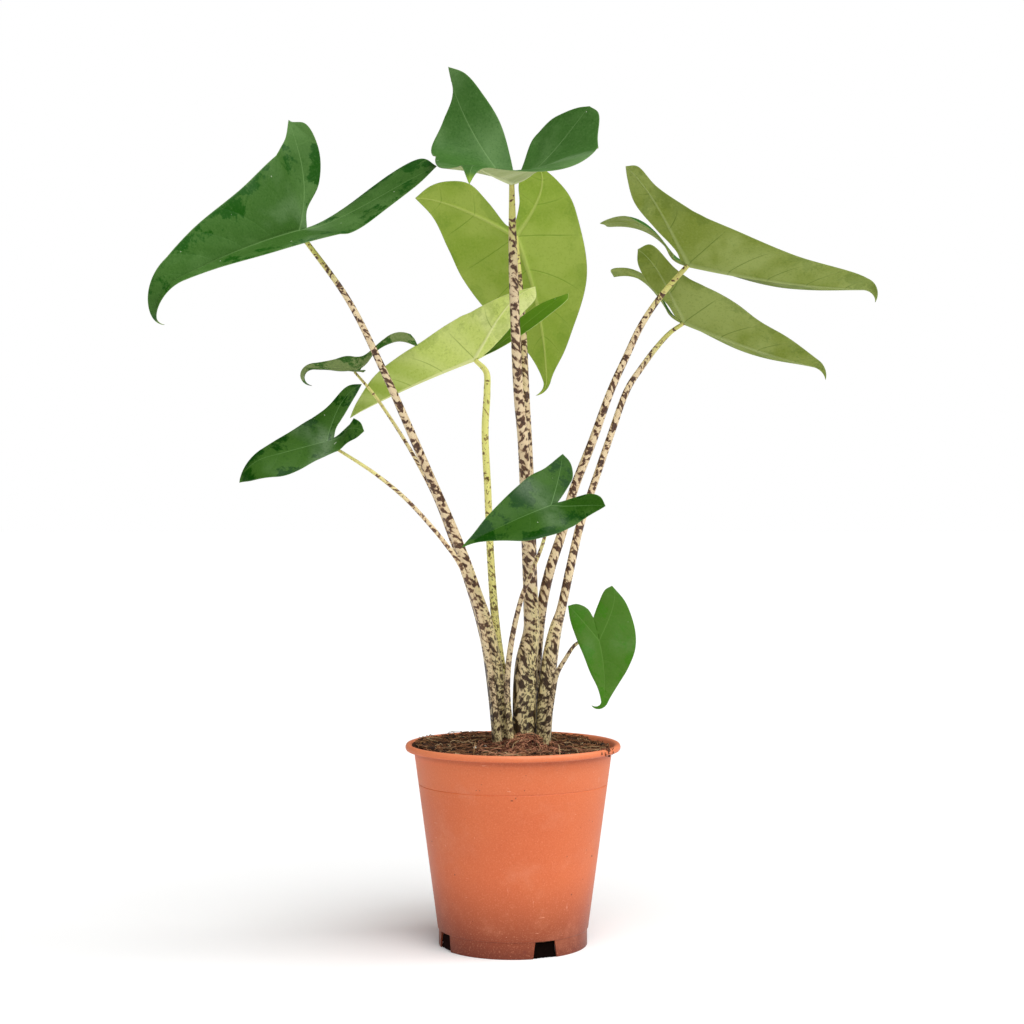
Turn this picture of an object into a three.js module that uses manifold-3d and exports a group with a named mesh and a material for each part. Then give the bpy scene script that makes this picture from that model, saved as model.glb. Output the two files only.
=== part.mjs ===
// Potted zebra-stalked elephant's ear, Alocasia zebrina, in a plastic nursery pot.
// Ten arrow-shaped blades stand on ten stalks that rise from three rootstocks in the soil.
// Millimetres, +Z up, +X to the right, -Y to the front. Pieces are laid out from the pot's axis on
// the floor, and the whole plant is then moved so that its outline is centred on the origin.
import * as THREE from "three";
import { mergeVertices } from "three/addons/utils/BufferGeometryUtils.js";
import Module from "manifold-3d";

const wasm = await Module();
wasm.setup();

const { lerp, clamp, smoothstep, degToRad } = THREE.MathUtils;

// Clearance between two pieces that touch in the real plant
const GAP = 0.3;
// Middle of the plant's outline, seen from above, measured from the pot's axis
const MIDDLE = { x: 16, y: -22.5 };

// Pot: a standard 17 cm nursery pot, the driving size of the whole plant
const POT = {
  segments: 40,
  rimRadius: 85,
  height: 158,
  lipHeight: 5.5,
  lipRound: 0.9,
  lipFoot: 151,
  mouthRadius: 82,
  mouthBevel: 2,
  wall: 1.5,
  footRadius: 58.5,
  footHeight: 13.3,
  bodyFootRadius: 59.3,
  bodyTopRadius: 78.1,
  grooveHeight: 127,
  grooveDepth: 0.6,
  floorTop: 12,
};
// Drain notches in the foot, counted round from the front, running on as slots in the floor
const NOTCH = {
  count: 4,
  firstAngle: 25,
  width: 20.3,
  topShare: 0.82,
  bottom: -1,
  top: 13,
  slotLength: 17,
};

// Soil: heights of its top at the pot's wall on four sides, and the mound round the stalks
const SOIL = { front: 153, back: 156, left: 157, right: 153, mound: 5, moundRadius: 34, rings: 4 };
const SOIL_HEART = { x: 9, y: -3 };

// Stalks
const STALK = { sides: 10, step: 26, footDepth: 1, footLean: 0.12, footTaper: 0.92 };

// Rootstocks: a short buried stem under each clump of stalks, with thick roots running out of it,
// each root's course as its reach, a share of the root length, its height and its radius
const ROOTSTOCK = { top: 138, bottom: 98, sides: 10, roots: 4, rootSides: 4, rootSteps: 4 };
const ROOT_COURSE = [[0.1, 118, 2.6], [0.45, 108, 2.2], [0.8, 84, 1.7], [0.9, 50, 1.1]];
const ROOT_STAGGER = 4;
const ROOTSTOCKS = {
  left: { x: -8, y: -2, radius: 12, rootLength: 46, firstRoot: 115, lastRoot: 250 },
  centre: { x: 14, y: 5, radius: 10, rootLength: 38, firstRoot: -5, lastRoot: 95 },
  right: { x: 24, y: -15, radius: 7.5, rootLength: 30, firstRoot: 262, lastRoot: 335 },
};

// Blades
const BLADE = { thickness: 0.8, keel: 1.5, lobeStations: 6, bladeStations: 11, outer: 3, inner: 2 };
// Where a half's outer margin leaves the lobe, as a share of the blade's length
const SHOULDER = 0.12;
// Width beside the midline over which the two halves' different lifts blend
const BRIDGE = 14;
// Ripples along each half's margin
const WAVES = 2.5;
const MARGIN_SAMPLES = 400;
const BEND_STEPS = 32;
// Height above the blade's middle up to which a stalk's head is cut away
const HEAD_CUT = 7;
// Where a half's rib lies between its lobe's inner margin and its outer one
const RIB_SHARE = 0.45;

const COLOURS = {
  pot: 0xc4623c,
  soil: 0x4a3426,
  root: 0xb79a6b,
  zebraStalk: 0xd9ceae,
  youngStalk: 0xc3cd6a,
  darkBlade: 0x2f6b34,
  paleBlade: 0x86a449,
};

// Each leaf has a stalk and a blade.
// stalk: points from the junction down to the soil, as x, y, z, radius.
// heading, pitch and roll turn the blade about the junction, in degrees. droop bends the midrib down
// over its length, hook curls its drip tip from hookFrom on, a share of the length, and sweep bends
// it sideways: its values at the junction, where the hook begins, and at the tip.
// Each half, left or right with the tip ahead, has fold: its rise about the midrib at the lobe's
// tip, the junction and the blade's tip; curl: the bend across it; lift: the lobe's rise behind the
// junction, first and last; outer: its margin laid flat, from the lobe's tip to before the blade's
// tip, along the midrib and outwards; inner: its margin from the lobe's tip to before the sinus.
// ease is how soon the lobes rise behind the junction, as a share of their reach.
const LEAVES = {
  top_left: {
    rootstock: "left",
    stalk: [
      [-163, -50, 555, 1.8], [-126, -47, 502, 2.3], [-101, -43, 452, 2.7], [-83, -39, 411.5, 3.1],
      [-67, -34, 374, 3.4], [-43.5, -26, 318, 4.1], [-30.5, -20, 279, 5], [-21, -16, 248, 6],
      [-13.5, -10, 204, 7], [-8.5, -3, 150, 7.5],
    ],
    heading: 230, pitch: -17, roll: -36, length: 175,
    droop: 20, hook: 140, hookFrom: 0.7, sweep: [0, 0, 0], sinus: 8, wave: 1, ease: 0.5,
    left: {
      fold: [24, 27, 16], curl: 0, lift: [68, 38],
      outer: [[-108, 50], [-87, 53], [-51, 48], [-9, 44], [51, 29], [94, 13], [123, 6], [152, 3]],
      inner: [[-110, 26], [-73, 10], [-44, 4]],
    },
    right: {
      fold: [37, 50, 39], curl: -8, lift: [18, 57],
      outer: [[-72, 77], [-46, 69], [-9, 62], [42, 41], [93, 27], [127, 15], [154, 4]],
      inner: [[-72, 75], [-82, 66], [-71, 48], [-43, 27], [-16, 14]],
    },
  },
  top_centre: {
    rootstock: "centre",
    stalk: [
      [-1, -70, 588, 2], [0, -58, 532, 3.4], [2.3, -45, 468, 3.7], [4.6, -36, 427, 3.9],
      [7.7, -30, 396, 4.2], [11.7, -14, 318, 5.1], [14, -7.5, 262, 5.8], [14.3, -6, 247, 6.2],
      [12.6, -5, 236, 7.2], [10.4, -4.5, 222, 8.5], [9.2, -4, 201, 9.3], [9, -3, 150, 9.3],
    ],
    heading: 256, pitch: -5, roll: 0, length: 130,
    droop: -4, hook: 90, hookFrom: 0.82, sweep: [0, 0, 0], sinus: 10, wave: 1, ease: 0.2,
    left: {
      fold: [24, 24, -16], curl: -8, lift: [30, 72],
      outer: [[-80, 57], [-71, 65], [-39, 67], [5, 71], [35, 66], [65, 50], [92, 28], [112, 9]],
      inner: [[-81, 47], [-79, 34], [-75, 22], [-61, 8], [-35, 2]],
    },
    right: {
      fold: [24, 24, -2], curl: -8, lift: [50, 110],
      outer: [[-120, 57], [-95, 55], [-68, 63], [-36, 70], [5, 61], [40, 48], [75, 30], [108, 10]],
      inner: [[-113, 45], [-92, 31], [-70, 19], [-40, 9]],
    },
  },
  back_centre: {
    rootstock: "centre",
    stalk: [
      [2.5, 85, 570, 2], [6.7, 74, 516, 2.5], [9, 64, 477, 2.8], [10.6, 52, 432, 3.1],
      [12.2, 44, 398, 3.3], [14.5, 26, 317, 4.2], [14.6, 18, 238, 4.8], [8, 19.5, 150, 5],
    ],
    pale: true,
    heading: 37, pitch: -62, roll: -40, length: 149,
    droop: -8, hook: 10, hookFrom: 0.88, sweep: [0, 22, 90], sinus: 8, wave: 1, ease: 0.2,
    left: {
      fold: [15, 15, 15], curl: -10, lift: [0, 0],
      outer: [[-58, 72], [-37, 64], [-9, 62], [24, 60], [56, 50], [90, 27], [112, 12], [132, 3]],
      inner: [[-63, 55], [-62, 40], [-54, 22], [-34, 12], [-11, 4]],
    },
    right: {
      fold: [15, 15, 15], curl: -10, lift: [0, 0],
      outer: [[-50, 38], [-32, 48], [-13, 54], [9, 53], [48, 46], [89, 25], [105, 17], [127, 5]],
      inner: [[-50, 26], [-38, 18], [-24, 13], [-10, 3]],
    },
  },
  young: {
    rootstock: "left",
    stalk: [
      [-30.2, 8, 461.4, 1.8], [-21.3, 5, 451, 2.4], [-20.5, 2, 436, 2.7], [-22, -3, 404, 2.8],
      [-19.7, -6, 354, 2.8], [-18, -6, 312, 2.9], [-15.8, -5, 277, 3.1], [-13.2, -3, 247, 3.3],
      [-7.4, 3, 204, 3.5], [-1.5, 9.5, 150, 3.6],
    ],
    pale: true,
    heading: 176, pitch: -21, roll: 25, length: 110,
    droop: 8, hook: 10, hookFrom: 0.88, sweep: [0, 0, 0], sinus: 6, wave: 1, ease: 0.2,
    left: {
      fold: [48, 48, 48], curl: 30, lift: [4, 10],
      outer: [[-70, 32], [-46, 37], [-18, 39], [7, 34], [31, 29], [54, 26], [77, 20], [97, 9]],
      inner: [[-66, 24], [-50, 18], [-25, 8]],
    },
    right: {
      fold: [48, 48, 48], curl: 10, lift: [4, 10],
      outer: [[-94, 44], [-70, 50], [-40, 46], [-10, 40], [30, 30], [54, 25], [77, 18], [97, 8]],
      inner: [[-90, 34], [-70, 24], [-35, 10]],
    },
  },
  upper_right: {
    rootstock: "centre",
    stalk: [
      [140.7, 28, 539.4, 2], [119.2, 30, 514, 2.3], [103.1, 31, 490, 2.6], [91, 31, 464.5, 2.8],
      [78.8, 29, 437.7, 3], [64.2, 26, 397.8, 3.4], [48, 22, 356, 3.6], [39, 18, 323, 3.8],
      [29.5, 14, 294, 4], [22.5, 10.5, 262, 4.2], [17.5, 9.5, 201, 4.3], [18, 9.5, 150, 4.4],
    ],
    heading: 5, pitch: -13, roll: -19, length: 164,
    droop: -14, hook: 110, hookFrom: 0.9, sweep: [0, 0, 0], sinus: 6, wave: 1, ease: 0.55,
    left: {
      fold: [20, 37, 9], curl: -12, lift: [172, -30],
      outer: [
        [-75, 42], [-69, 54], [-40, 41], [-10, 32], [16, 34], [46, 39], [81, 32], [111, 19],
        [137, 6],
      ],
      inner: [[-80, 29], [-61, 11], [-24, 12]],
    },
    right: {
      fold: [46, 25, 24], curl: -8, lift: [6, 12],
      outer: [[-77, 62], [-68, 66], [-47, 58], [-14, 53], [21, 45], [47, 38], [81, 29], [142, 14]],
      inner: [[-72, 54], [-59, 38], [-35, 24], [-15, 12]],
    },
  },
  lower_right: {
    rootstock: "right",
    stalk: [
      [141.3, 70, 497, 1.6], [129.7, 69, 488, 1.9], [117, 66, 474, 2.2], [105.2, 61, 458, 2.4],
      [94, 55, 441, 2.6], [78, 43, 398.5, 2.8], [63, 31, 356, 3], [53.7, 24, 329, 3.3],
      [45.4, 15, 294.6, 3.5], [38, 7, 262, 3.8], [33.5, 4, 247, 5], [29, 0, 224, 6.2],
      [24.8, -6, 180, 6.2], [23.5, -10.5, 150, 5.8],
    ],
    heading: 5, pitch: -23, roll: -19, length: 132,
    droop: -12, hook: 80, hookFrom: 0.88, sweep: [0, 0, 0], sinus: 8, wave: 1, ease: 0.55,
    left: {
      fold: [10, 32, 7], curl: -12, lift: [160, -11],
      outer: [
        [-75, 47], [-72, 40], [-43, 32], [-12, 26], [8, 29], [28, 31], [54, 28], [80, 19], [108, 4],
      ],
      inner: [[-80, 33], [-48, 16], [-26, 9]],
    },
    right: {
      fold: [46, 26, 26], curl: -8, lift: [4, 10],
      outer: [[-64, 39], [-57, 48], [-28, 43], [5, 43], [30, 38], [54, 30], [82, 23], [112, 10]],
      inner: [[-58, 29], [-43, 19], [-26, 12]],
    },
  },
  mid_left: {
    rootstock: "left",
    stalk: [
      [-142, -50, 394, 1], [-136, -50, 389, 1.1], [-118.3, -50, 378, 1.3], [-103, -49, 367.5, 1.4],
      [-81, -47, 349, 1.5], [-53.7, -42, 318, 1.7], [-40, -38, 298, 1.8], [-27, -30, 262.6, 2.1],
      [-18, -22, 217, 2.6], [-10.5, -14, 150, 3],
    ],
    heading: 205, pitch: -15, roll: -38, length: 80,
    droop: 0, hook: 76, hookFrom: 0.62, sweep: [0, 0, 0], sinus: 6, wave: 0.6, ease: 0.3,
    left: {
      fold: [-12, 8, -13], curl: -8, lift: [112, 70],
      outer: [[-29, 26], [-22, 24], [-9, 16], [15, 18], [33, 22], [49, 21], [69, 11]],
      inner: [[-33, 19], [-26, 4]],
    },
    right: {
      fold: [26, 6, -10], curl: -8, lift: [28, 10],
      outer: [[-46, 33], [-37, 37], [-18, 32], [0, 29], [20, 22], [36, 17], [58, 8]],
      inner: [[-40, 28], [-27, 19], [-14, 10]],
    },
  },
  small_left: {
    rootstock: "left",
    stalk: [
      [-124, -10, 451, 1], [-109.7, -12, 433, 1.2], [-97, -14, 415, 1.3], [-84.4, -15, 395.5, 1.4],
      [-72, -16, 374, 1.6], [-60, -15, 350, 1.8], [-47.8, -12, 318, 2], [-37, -8, 288, 2.3],
      [-26, -3, 251, 2.6], [-18.2, 2, 211, 2.8], [-12, 7.5, 150, 3],
    ],
    heading: 192, pitch: 6, roll: -17, length: 55,
    droop: 6, hook: 171, hookFrom: 0.58, sweep: [0, 0, 0], sinus: 4, wave: 0.6, ease: 0.5,
    left: {
      fold: [10, 15, -9], curl: -8, lift: [12, 10],
      outer: [[-6, 10], [-4, 14], [8, 13], [27, 10], [42, 4]],
      inner: [[-8, 5]],
    },
    right: {
      fold: [42, 19, 38], curl: 8, lift: [131, 28],
      outer: [[-51, 10], [-36, 13], [-15, 16], [5, 17], [18, 10], [33, 4], [46, 4]],
      inner: [[-53, 7], [-38, 9], [-10, 10]],
    },
  },
  front: {
    rootstock: "left",
    stalk: [
      [28.5, -70, 345, 1.2], [22.7, -58, 316.5, 1.4], [12.2, -48, 289.6, 1.7], [6, -38, 272, 1.9],
      [-1.6, -26, 237, 2.2], [-4.7, -18.5, 201, 2.5], [-1, -15.5, 150, 2.8],
    ],
    heading: 210, pitch: -18, roll: -40, length: 80,
    droop: 12, hook: 10, hookFrom: 0.88, sweep: [0, 0, 0], sinus: 6, wave: 0.6, ease: 0.2,
    left: {
      fold: [10, 10, 10], curl: -8, lift: [15, 45],
      outer: [[-31, 32], [-13, 28], [2, 29], [16, 30], [28, 28], [39, 24], [54, 13], [68, 4]],
      inner: [[-33, 23], [-29, 14], [-19, 5]],
    },
    right: {
      fold: [25, 25, 25], curl: -8, lift: [4, 10],
      outer: [[-33, 34], [-15, 30], [3, 28], [15, 24], [30, 19], [52, 11], [68, 4]],
      inner: [[-34, 25], [-29, 14], [-21, 8]],
    },
  },
  low_right: {
    rootstock: "right",
    stalk: [
      [65.6, -50, 242, 1.1], [57.4, -44, 241, 1.2], [49, -40, 239, 1.3], [40, -33, 226, 1.6],
      [34, -28, 214.5, 1.9], [31, -25, 200, 2.2], [24.5, -21.3, 150, 2.6],
    ],
    heading: 275, pitch: -75, roll: 0, length: 60,
    droop: 5, hook: 30, hookFrom: 0.78, sweep: [12, -6, -150], sinus: 18, wave: 0.5, ease: 0.2,
    left: {
      fold: [10, 10, 10], curl: -12, lift: [0, 0],
      outer: [[-39, 20], [-24, 27], [-4, 29], [10, 26], [22, 19], [36, 9], [47, 3]],
      inner: [[-37, 14], [-27, 6]],
    },
    right: {
      fold: [10, 10, 10], curl: -12, lift: [0, 0],
      outer: [[-31, 17], [-20, 18], [-8, 17], [6, 15], [24, 11], [38, 5], [48, 2]],
      inner: [[-31, 10], [-26, 3]],
    },
  },
};
// A stalk that lies in the open sheath of another: the first is cut back to clear the second
const SHEATHED = [["top_left", "young"]];

// Solids

function solidOf(geometry) {
  const bare = new THREE.BufferGeometry();
  bare.setAttribute("position", geometry.attributes.position);
  bare.setIndex(geometry.index);
  const merged = mergeVertices(bare, 1e-4);
  const mesh = new wasm.Mesh({
    numProp: 3,
    vertProperties: merged.attributes.position.array,
    triVerts: new Uint32Array(merged.index.array),
  });
  return new wasm.Manifold(mesh);
}

function geometryOf(solid) {
  const mesh = solid.getMesh();
  const geometry = new THREE.BufferGeometry();
  geometry.setAttribute("position", new THREE.BufferAttribute(mesh.vertProperties, 3));
  geometry.setIndex(new THREE.BufferAttribute(mesh.triVerts, 1));
  geometry.computeVertexNormals();
  return geometry;
}

function pieceMesh(name, solid, colour, roughness) {
  const material = new THREE.MeshStandardMaterial({ color: colour, roughness, metalness: 0 });
  const mesh = new THREE.Mesh(geometryOf(solid), material);
  mesh.name = name;
  return mesh;
}

function latheSolid(profile, segments) {
  const geometry = new THREE.LatheGeometry(profile, segments);
  geometry.rotateX(Math.PI / 2);
  return solidOf(geometry);
}

// A capped cylinder bent along a curve, its radius read from the list of points
function bentTube(points, sides, steps, extra) {
  const centres = points.map(([x, y, z]) => new THREE.Vector3(x, y, z));
  const curve = new THREE.CatmullRomCurve3(centres, false, "centripetal");
  const frames = curve.computeFrenetFrames(steps, false);
  const geometry = new THREE.CylinderGeometry(1, 1, 1, sides, steps);
  const places = geometry.attributes.position;
  for (let i = 0; i < places.count; i += 1) {
    const ring = Math.round((places.getY(i) + 0.5) * steps);
    const along = ring / steps;
    const at = curve.getUtoTmapping(along) * (points.length - 1);
    const before = Math.min(Math.floor(at), points.length - 2);
    const radius = lerp(points[before][3], points[before + 1][3], at - before) + extra;
    const place = curve.getPointAt(along);
    place.addScaledVector(frames.normals[ring], places.getZ(i) * radius);
    place.addScaledVector(frames.binormals[ring], places.getX(i) * radius);
    places.setXYZ(i, place.x, place.y, place.z);
  }
  return solidOf(geometry);
}

// Pot

function bodyRadius(height) {
  const share = (height - POT.footHeight) / (POT.height - POT.lipHeight - POT.footHeight);
  return lerp(POT.bodyFootRadius, POT.bodyTopRadius, share);
}

// The inside's radius: the body's wall up to the lip's foot, and the flared lip above it
function insideRadius(height) {
  if (height < POT.lipFoot) {
    return bodyRadius(height) - POT.wall;
  }
  const share = (height - POT.lipFoot) / (POT.height - POT.lipRound - POT.lipFoot);
  return lerp(POT.bodyTopRadius - POT.wall, POT.mouthRadius - POT.mouthBevel, share);
}

function potProfile() {
  const underLip = POT.height - POT.lipHeight;
  const floorUnder = POT.floorTop - POT.wall;
  const grooveRadius = bodyRadius(POT.grooveHeight) - POT.grooveDepth;
  return [
    [0, floorUnder],
    [POT.footRadius - POT.wall, floorUnder],
    [POT.footRadius - POT.wall, 0],
    [POT.footRadius, 0],
    [POT.footRadius, POT.footHeight],
    [POT.bodyFootRadius, POT.footHeight],
    [bodyRadius(POT.grooveHeight - POT.grooveDepth), POT.grooveHeight - POT.grooveDepth],
    [grooveRadius, POT.grooveHeight],
    [bodyRadius(POT.grooveHeight + POT.grooveDepth), POT.grooveHeight + POT.grooveDepth],
    [POT.bodyTopRadius, underLip],
    [POT.rimRadius - POT.lipRound, underLip + POT.lipRound / 2],
    [POT.rimRadius, POT.height - POT.lipHeight / 2],
    [POT.rimRadius - POT.lipRound, POT.height - POT.lipRound / 2],
    [POT.mouthRadius, POT.height],
    [POT.mouthRadius - POT.mouthBevel, POT.height - POT.lipRound],
    [POT.bodyTopRadius - POT.wall, POT.lipFoot],
    [bodyRadius(POT.floorTop) - POT.wall, POT.floorTop],
    [0, POT.floorTop],
  ].map(([radius, height]) => new THREE.Vector2(radius, height));
}

function notchSolid(index) {
  const half = NOTCH.width / 2;
  const face = new THREE.Shape([
    new THREE.Vector2(-half, NOTCH.bottom),
    new THREE.Vector2(half, NOTCH.bottom),
    new THREE.Vector2(half * NOTCH.topShare, NOTCH.top),
    new THREE.Vector2(-half * NOTCH.topShare, NOTCH.top),
  ]);
  const depth = NOTCH.slotLength + POT.wall * 2;
  const geometry = new THREE.ExtrudeGeometry(face, { depth, bevelEnabled: false });
  geometry.rotateX(Math.PI / 2);
  geometry.translate(0, depth - POT.footRadius - POT.wall, 0);
  geometry.rotateZ(degToRad(NOTCH.firstAngle + (index * 360) / NOTCH.count));
  return solidOf(mergeVertices(geometry));
}

function potSolid() {
  let pot = latheSolid(potProfile(), POT.segments);
  for (let index = 0; index < NOTCH.count; index += 1) {
    pot = pot.subtract(notchSolid(index));
  }
  return pot;
}

// Stalks

function stalkPoints(leaf, extra) {
  const rootstock = ROOTSTOCKS[leaf.rootstock];
  const [x, y, , radius] = leaf.stalk[leaf.stalk.length - 1];
  const foot = [
    lerp(x, rootstock.x, STALK.footLean),
    lerp(y, rootstock.y, STALK.footLean),
    ROOTSTOCK.top - STALK.footDepth - extra,
    radius * STALK.footTaper,
  ];
  return [foot, ...leaf.stalk.toReversed()];
}

function stalkLength(leaf) {
  const [first, ...rest] = stalkPoints(leaf, 0).map(([x, y, z]) => new THREE.Vector3(x, y, z));
  let length = 0;
  let last = first;
  for (const point of rest) {
    length += point.distanceTo(last);
    last = point;
  }
  return length;
}

function stalkTube(leaf, extra) {
  const steps = Math.round(stalkLength(leaf) / STALK.step);
  return bentTube(stalkPoints(leaf, extra), STALK.sides, steps, extra);
}

function stalkSolid(name) {
  const leaf = LEAVES[name];
  let stalk = stalkTube(leaf, 0);
  stalk = stalk.subtract(bladeSolid(leaf, HEAD_CUT, BLADE.thickness / 2 + GAP));
  for (const rootstock of Object.values(ROOTSTOCKS)) {
    stalk = stalk.subtract(rootstockSolid(rootstock, GAP));
  }
  for (const [outer, inner] of SHEATHED) {
    if (outer === name) {
      stalk = stalk.subtract(stalkTube(LEAVES[inner], GAP));
    }
  }
  return largestBody(stalk);
}

// A cut can leave a crumb beside the piece, which is dropped
function largestBody(solid) {
  const bodies = solid.decompose();
  return bodies.reduce((largest, body) => (body.volume() > largest.volume() ? body : largest));
}

// Rootstocks

function rootPoints(rootstock, index) {
  const share = index / (ROOTSTOCK.roots - 1);
  const angle = degToRad(lerp(rootstock.firstRoot, rootstock.lastRoot, share));
  return ROOT_COURSE.map(([reach, height, radius]) => [
    rootstock.x + Math.cos(angle) * reach * rootstock.rootLength,
    rootstock.y + Math.sin(angle) * reach * rootstock.rootLength,
    height - ROOT_STAGGER * index,
    radius,
  ]);
}

function rootstockSolid(rootstock, extra) {
  const { top, bottom } = ROOTSTOCK;
  const radius = rootstock.radius + extra;
  const profile = [
    new THREE.Vector2(0, bottom - extra),
    new THREE.Vector2(radius * 0.55, lerp(bottom, top, 0.12) - extra),
    new THREE.Vector2(radius * 0.95, lerp(bottom, top, 0.4)),
    new THREE.Vector2(radius, lerp(bottom, top, 0.8)),
    new THREE.Vector2(radius, top + extra),
    new THREE.Vector2(0, top + extra),
  ];
  const geometry = new THREE.LatheGeometry(profile, ROOTSTOCK.sides);
  geometry.rotateX(Math.PI / 2);
  geometry.translate(rootstock.x, rootstock.y, 0);
  let solid = solidOf(geometry);
  for (let index = 0; index < ROOTSTOCK.roots; index += 1) {
    const points = rootPoints(rootstock, index);
    solid = solid.add(bentTube(points, ROOTSTOCK.rootSides, ROOTSTOCK.rootSteps, extra));
  }
  return solid;
}

// Soil

function soilHeight(x, y) {
  const reach = Math.hypot(x, y) || 1;
  const right = x / reach;
  const back = y / reach;
  const alongX = right > 0 ? SOIL.right : SOIL.left;
  const alongY = back > 0 ? SOIL.back : SOIL.front;
  const wallHeight = alongX * right * right + alongY * back * back;
  const level = (SOIL.front + SOIL.back + SOIL.left + SOIL.right) / 4;
  const outward = clamp(reach / bodyRadius(level), 0, 1);
  const fromHeart = Math.hypot(x - SOIL_HEART.x, y - SOIL_HEART.y);
  const mound = SOIL.mound * (1 - smoothstep(fromHeart, 0, SOIL.moundRadius));
  return lerp(level, wallHeight, smoothstep(outward, 0, 1)) + mound;
}

function soilSolid() {
  const wallRadius = (height) => insideRadius(height) - GAP;
  const level = SOIL.front;
  const bottom = POT.floorTop + GAP;
  const profile = [
    new THREE.Vector2(0, bottom),
    new THREE.Vector2(wallRadius(bottom), bottom),
    new THREE.Vector2(wallRadius(POT.lipFoot), POT.lipFoot),
  ];
  for (let ring = SOIL.rings; ring >= 0; ring -= 1) {
    profile.push(new THREE.Vector2((wallRadius(level) * ring) / SOIL.rings, level));
  }
  const geometry = new THREE.LatheGeometry(profile, POT.segments);
  geometry.rotateX(Math.PI / 2);
  const places = geometry.attributes.position;
  for (let i = 0; i < places.count; i += 1) {
    if (places.getZ(i) > POT.lipFoot + 1) {
      const x = places.getX(i);
      const y = places.getY(i);
      const height = soilHeight(x, y);
      const onWall = Math.hypot(x, y) > wallRadius(level) * (1 - 0.5 / SOIL.rings);
      const stretch = onWall ? wallRadius(height) / wallRadius(level) : 1;
      places.setXYZ(i, x * stretch, y * stretch, height);
    }
  }
  let soil = solidOf(geometry);
  for (const leaf of Object.values(LEAVES)) {
    soil = soil.subtract(stalkTube(leaf, GAP));
  }
  for (const rootstock of Object.values(ROOTSTOCKS)) {
    soil = soil.subtract(rootstockSolid(rootstock, GAP));
  }
  return largestBody(soil);
}

// Blades laid flat

function marginCurve(points) {
  const places = points.map(([u, v]) => new THREE.Vector3(u, v, 0));
  const curve = new THREE.CatmullRomCurve3(places, false, "centripetal");
  curve.arcLengthDivisions = MARGIN_SAMPLES;
  return curve;
}

// Where the outer margin passes the shoulder, as a share of its length
function shoulderShare(curve, blade) {
  for (let i = 0; i <= MARGIN_SAMPLES; i += 1) {
    if (curve.getPointAt(i / MARGIN_SAMPLES).x >= SHOULDER * blade.length) {
      return i / MARGIN_SAMPLES;
    }
  }
  return 1;
}

// Rows of flat points across one half: from its rib and midrib out, and from its rib in
function flatRows(blade, half) {
  const lobeTip = new THREE.Vector3(...half.outer[0], 0);
  const junction = new THREE.Vector3();
  const outerCurve = marginCurve([...half.outer, [blade.length, 0]]);
  const innerCurve = marginCurve([half.outer[0], ...half.inner, [-blade.sinus, 0]]);
  const shoulder = shoulderShare(outerCurve, blade);
  // The lobe's rib runs midway between the lobe's margins
  const innerMiddle = innerCurve.getPointAt(0.5);
  const ribMiddle = innerMiddle.lerp(outerCurve.getPointAt(shoulder / 2), RIB_SHARE);
  const control = ribMiddle.multiplyScalar(2).addScaledVector(lobeTip, -0.5);
  const rib = new THREE.QuadraticBezierCurve3(lobeTip, control, junction);
  const outer = [];
  const inner = [];
  for (let i = 0; i <= BLADE.lobeStations; i += 1) {
    const share = i / BLADE.lobeStations;
    const spine = rib.getPoint(share);
    outer.push(rowBetween(spine, outerCurve.getPointAt(shoulder * share), BLADE.outer));
    inner.push(rowBetween(spine, innerCurve.getPointAt(share), BLADE.inner));
  }
  for (let i = 1; i <= BLADE.bladeStations; i += 1) {
    const share = i / BLADE.bladeStations;
    const spine = new THREE.Vector3(blade.length * share, 0, 0);
    outer.push(rowBetween(spine, outerCurve.getPointAt(lerp(shoulder, 1, share)), BLADE.outer));
  }
  return { outer, inner };
}

function rowBetween(start, end, cells) {
  const row = [];
  for (let j = 0; j <= cells; j += 1) {
    row.push(start.clone().lerp(end, j / cells));
  }
  return row;
}

// Blades bent to shape

function bladeAxes({ heading, pitch, roll }) {
  const h = degToRad(heading);
  const p = degToRad(pitch);
  const r = degToRad(roll);
  const level = new THREE.Vector3(-Math.sin(h), Math.cos(h), 0);
  const ahead = new THREE.Vector3(Math.cos(p) * Math.cos(h), Math.cos(p) * Math.sin(h), Math.sin(p));
  const raised = new THREE.Vector3().crossVectors(ahead, level);
  const left = level.multiplyScalar(Math.cos(r)).addScaledVector(raised, Math.sin(r));
  const up = new THREE.Vector3().crossVectors(ahead, left);
  return { ahead, left, up };
}

function reachOf(half) {
  return Math.max(...half.outer.map(([u]) => -u));
}

function widthOf(half) {
  return Math.max(...half.outer.map(([, v]) => v));
}

// The midrib's dip and swing at a distance ahead of the junction
function midribTurn(blade, u) {
  const share = u / blade.length;
  const hooked = clamp((share - blade.hookFrom) / (1 - blade.hookFrom), 0, 1);
  const [first, middle, last] = blade.sweep;
  return {
    dip: -degToRad(blade.droop * share + blade.hook * hooked),
    swing: degToRad(lerp(lerp(first, middle, clamp(share / blade.hookFrom, 0, 1)), last, hooked)),
  };
}

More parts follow.
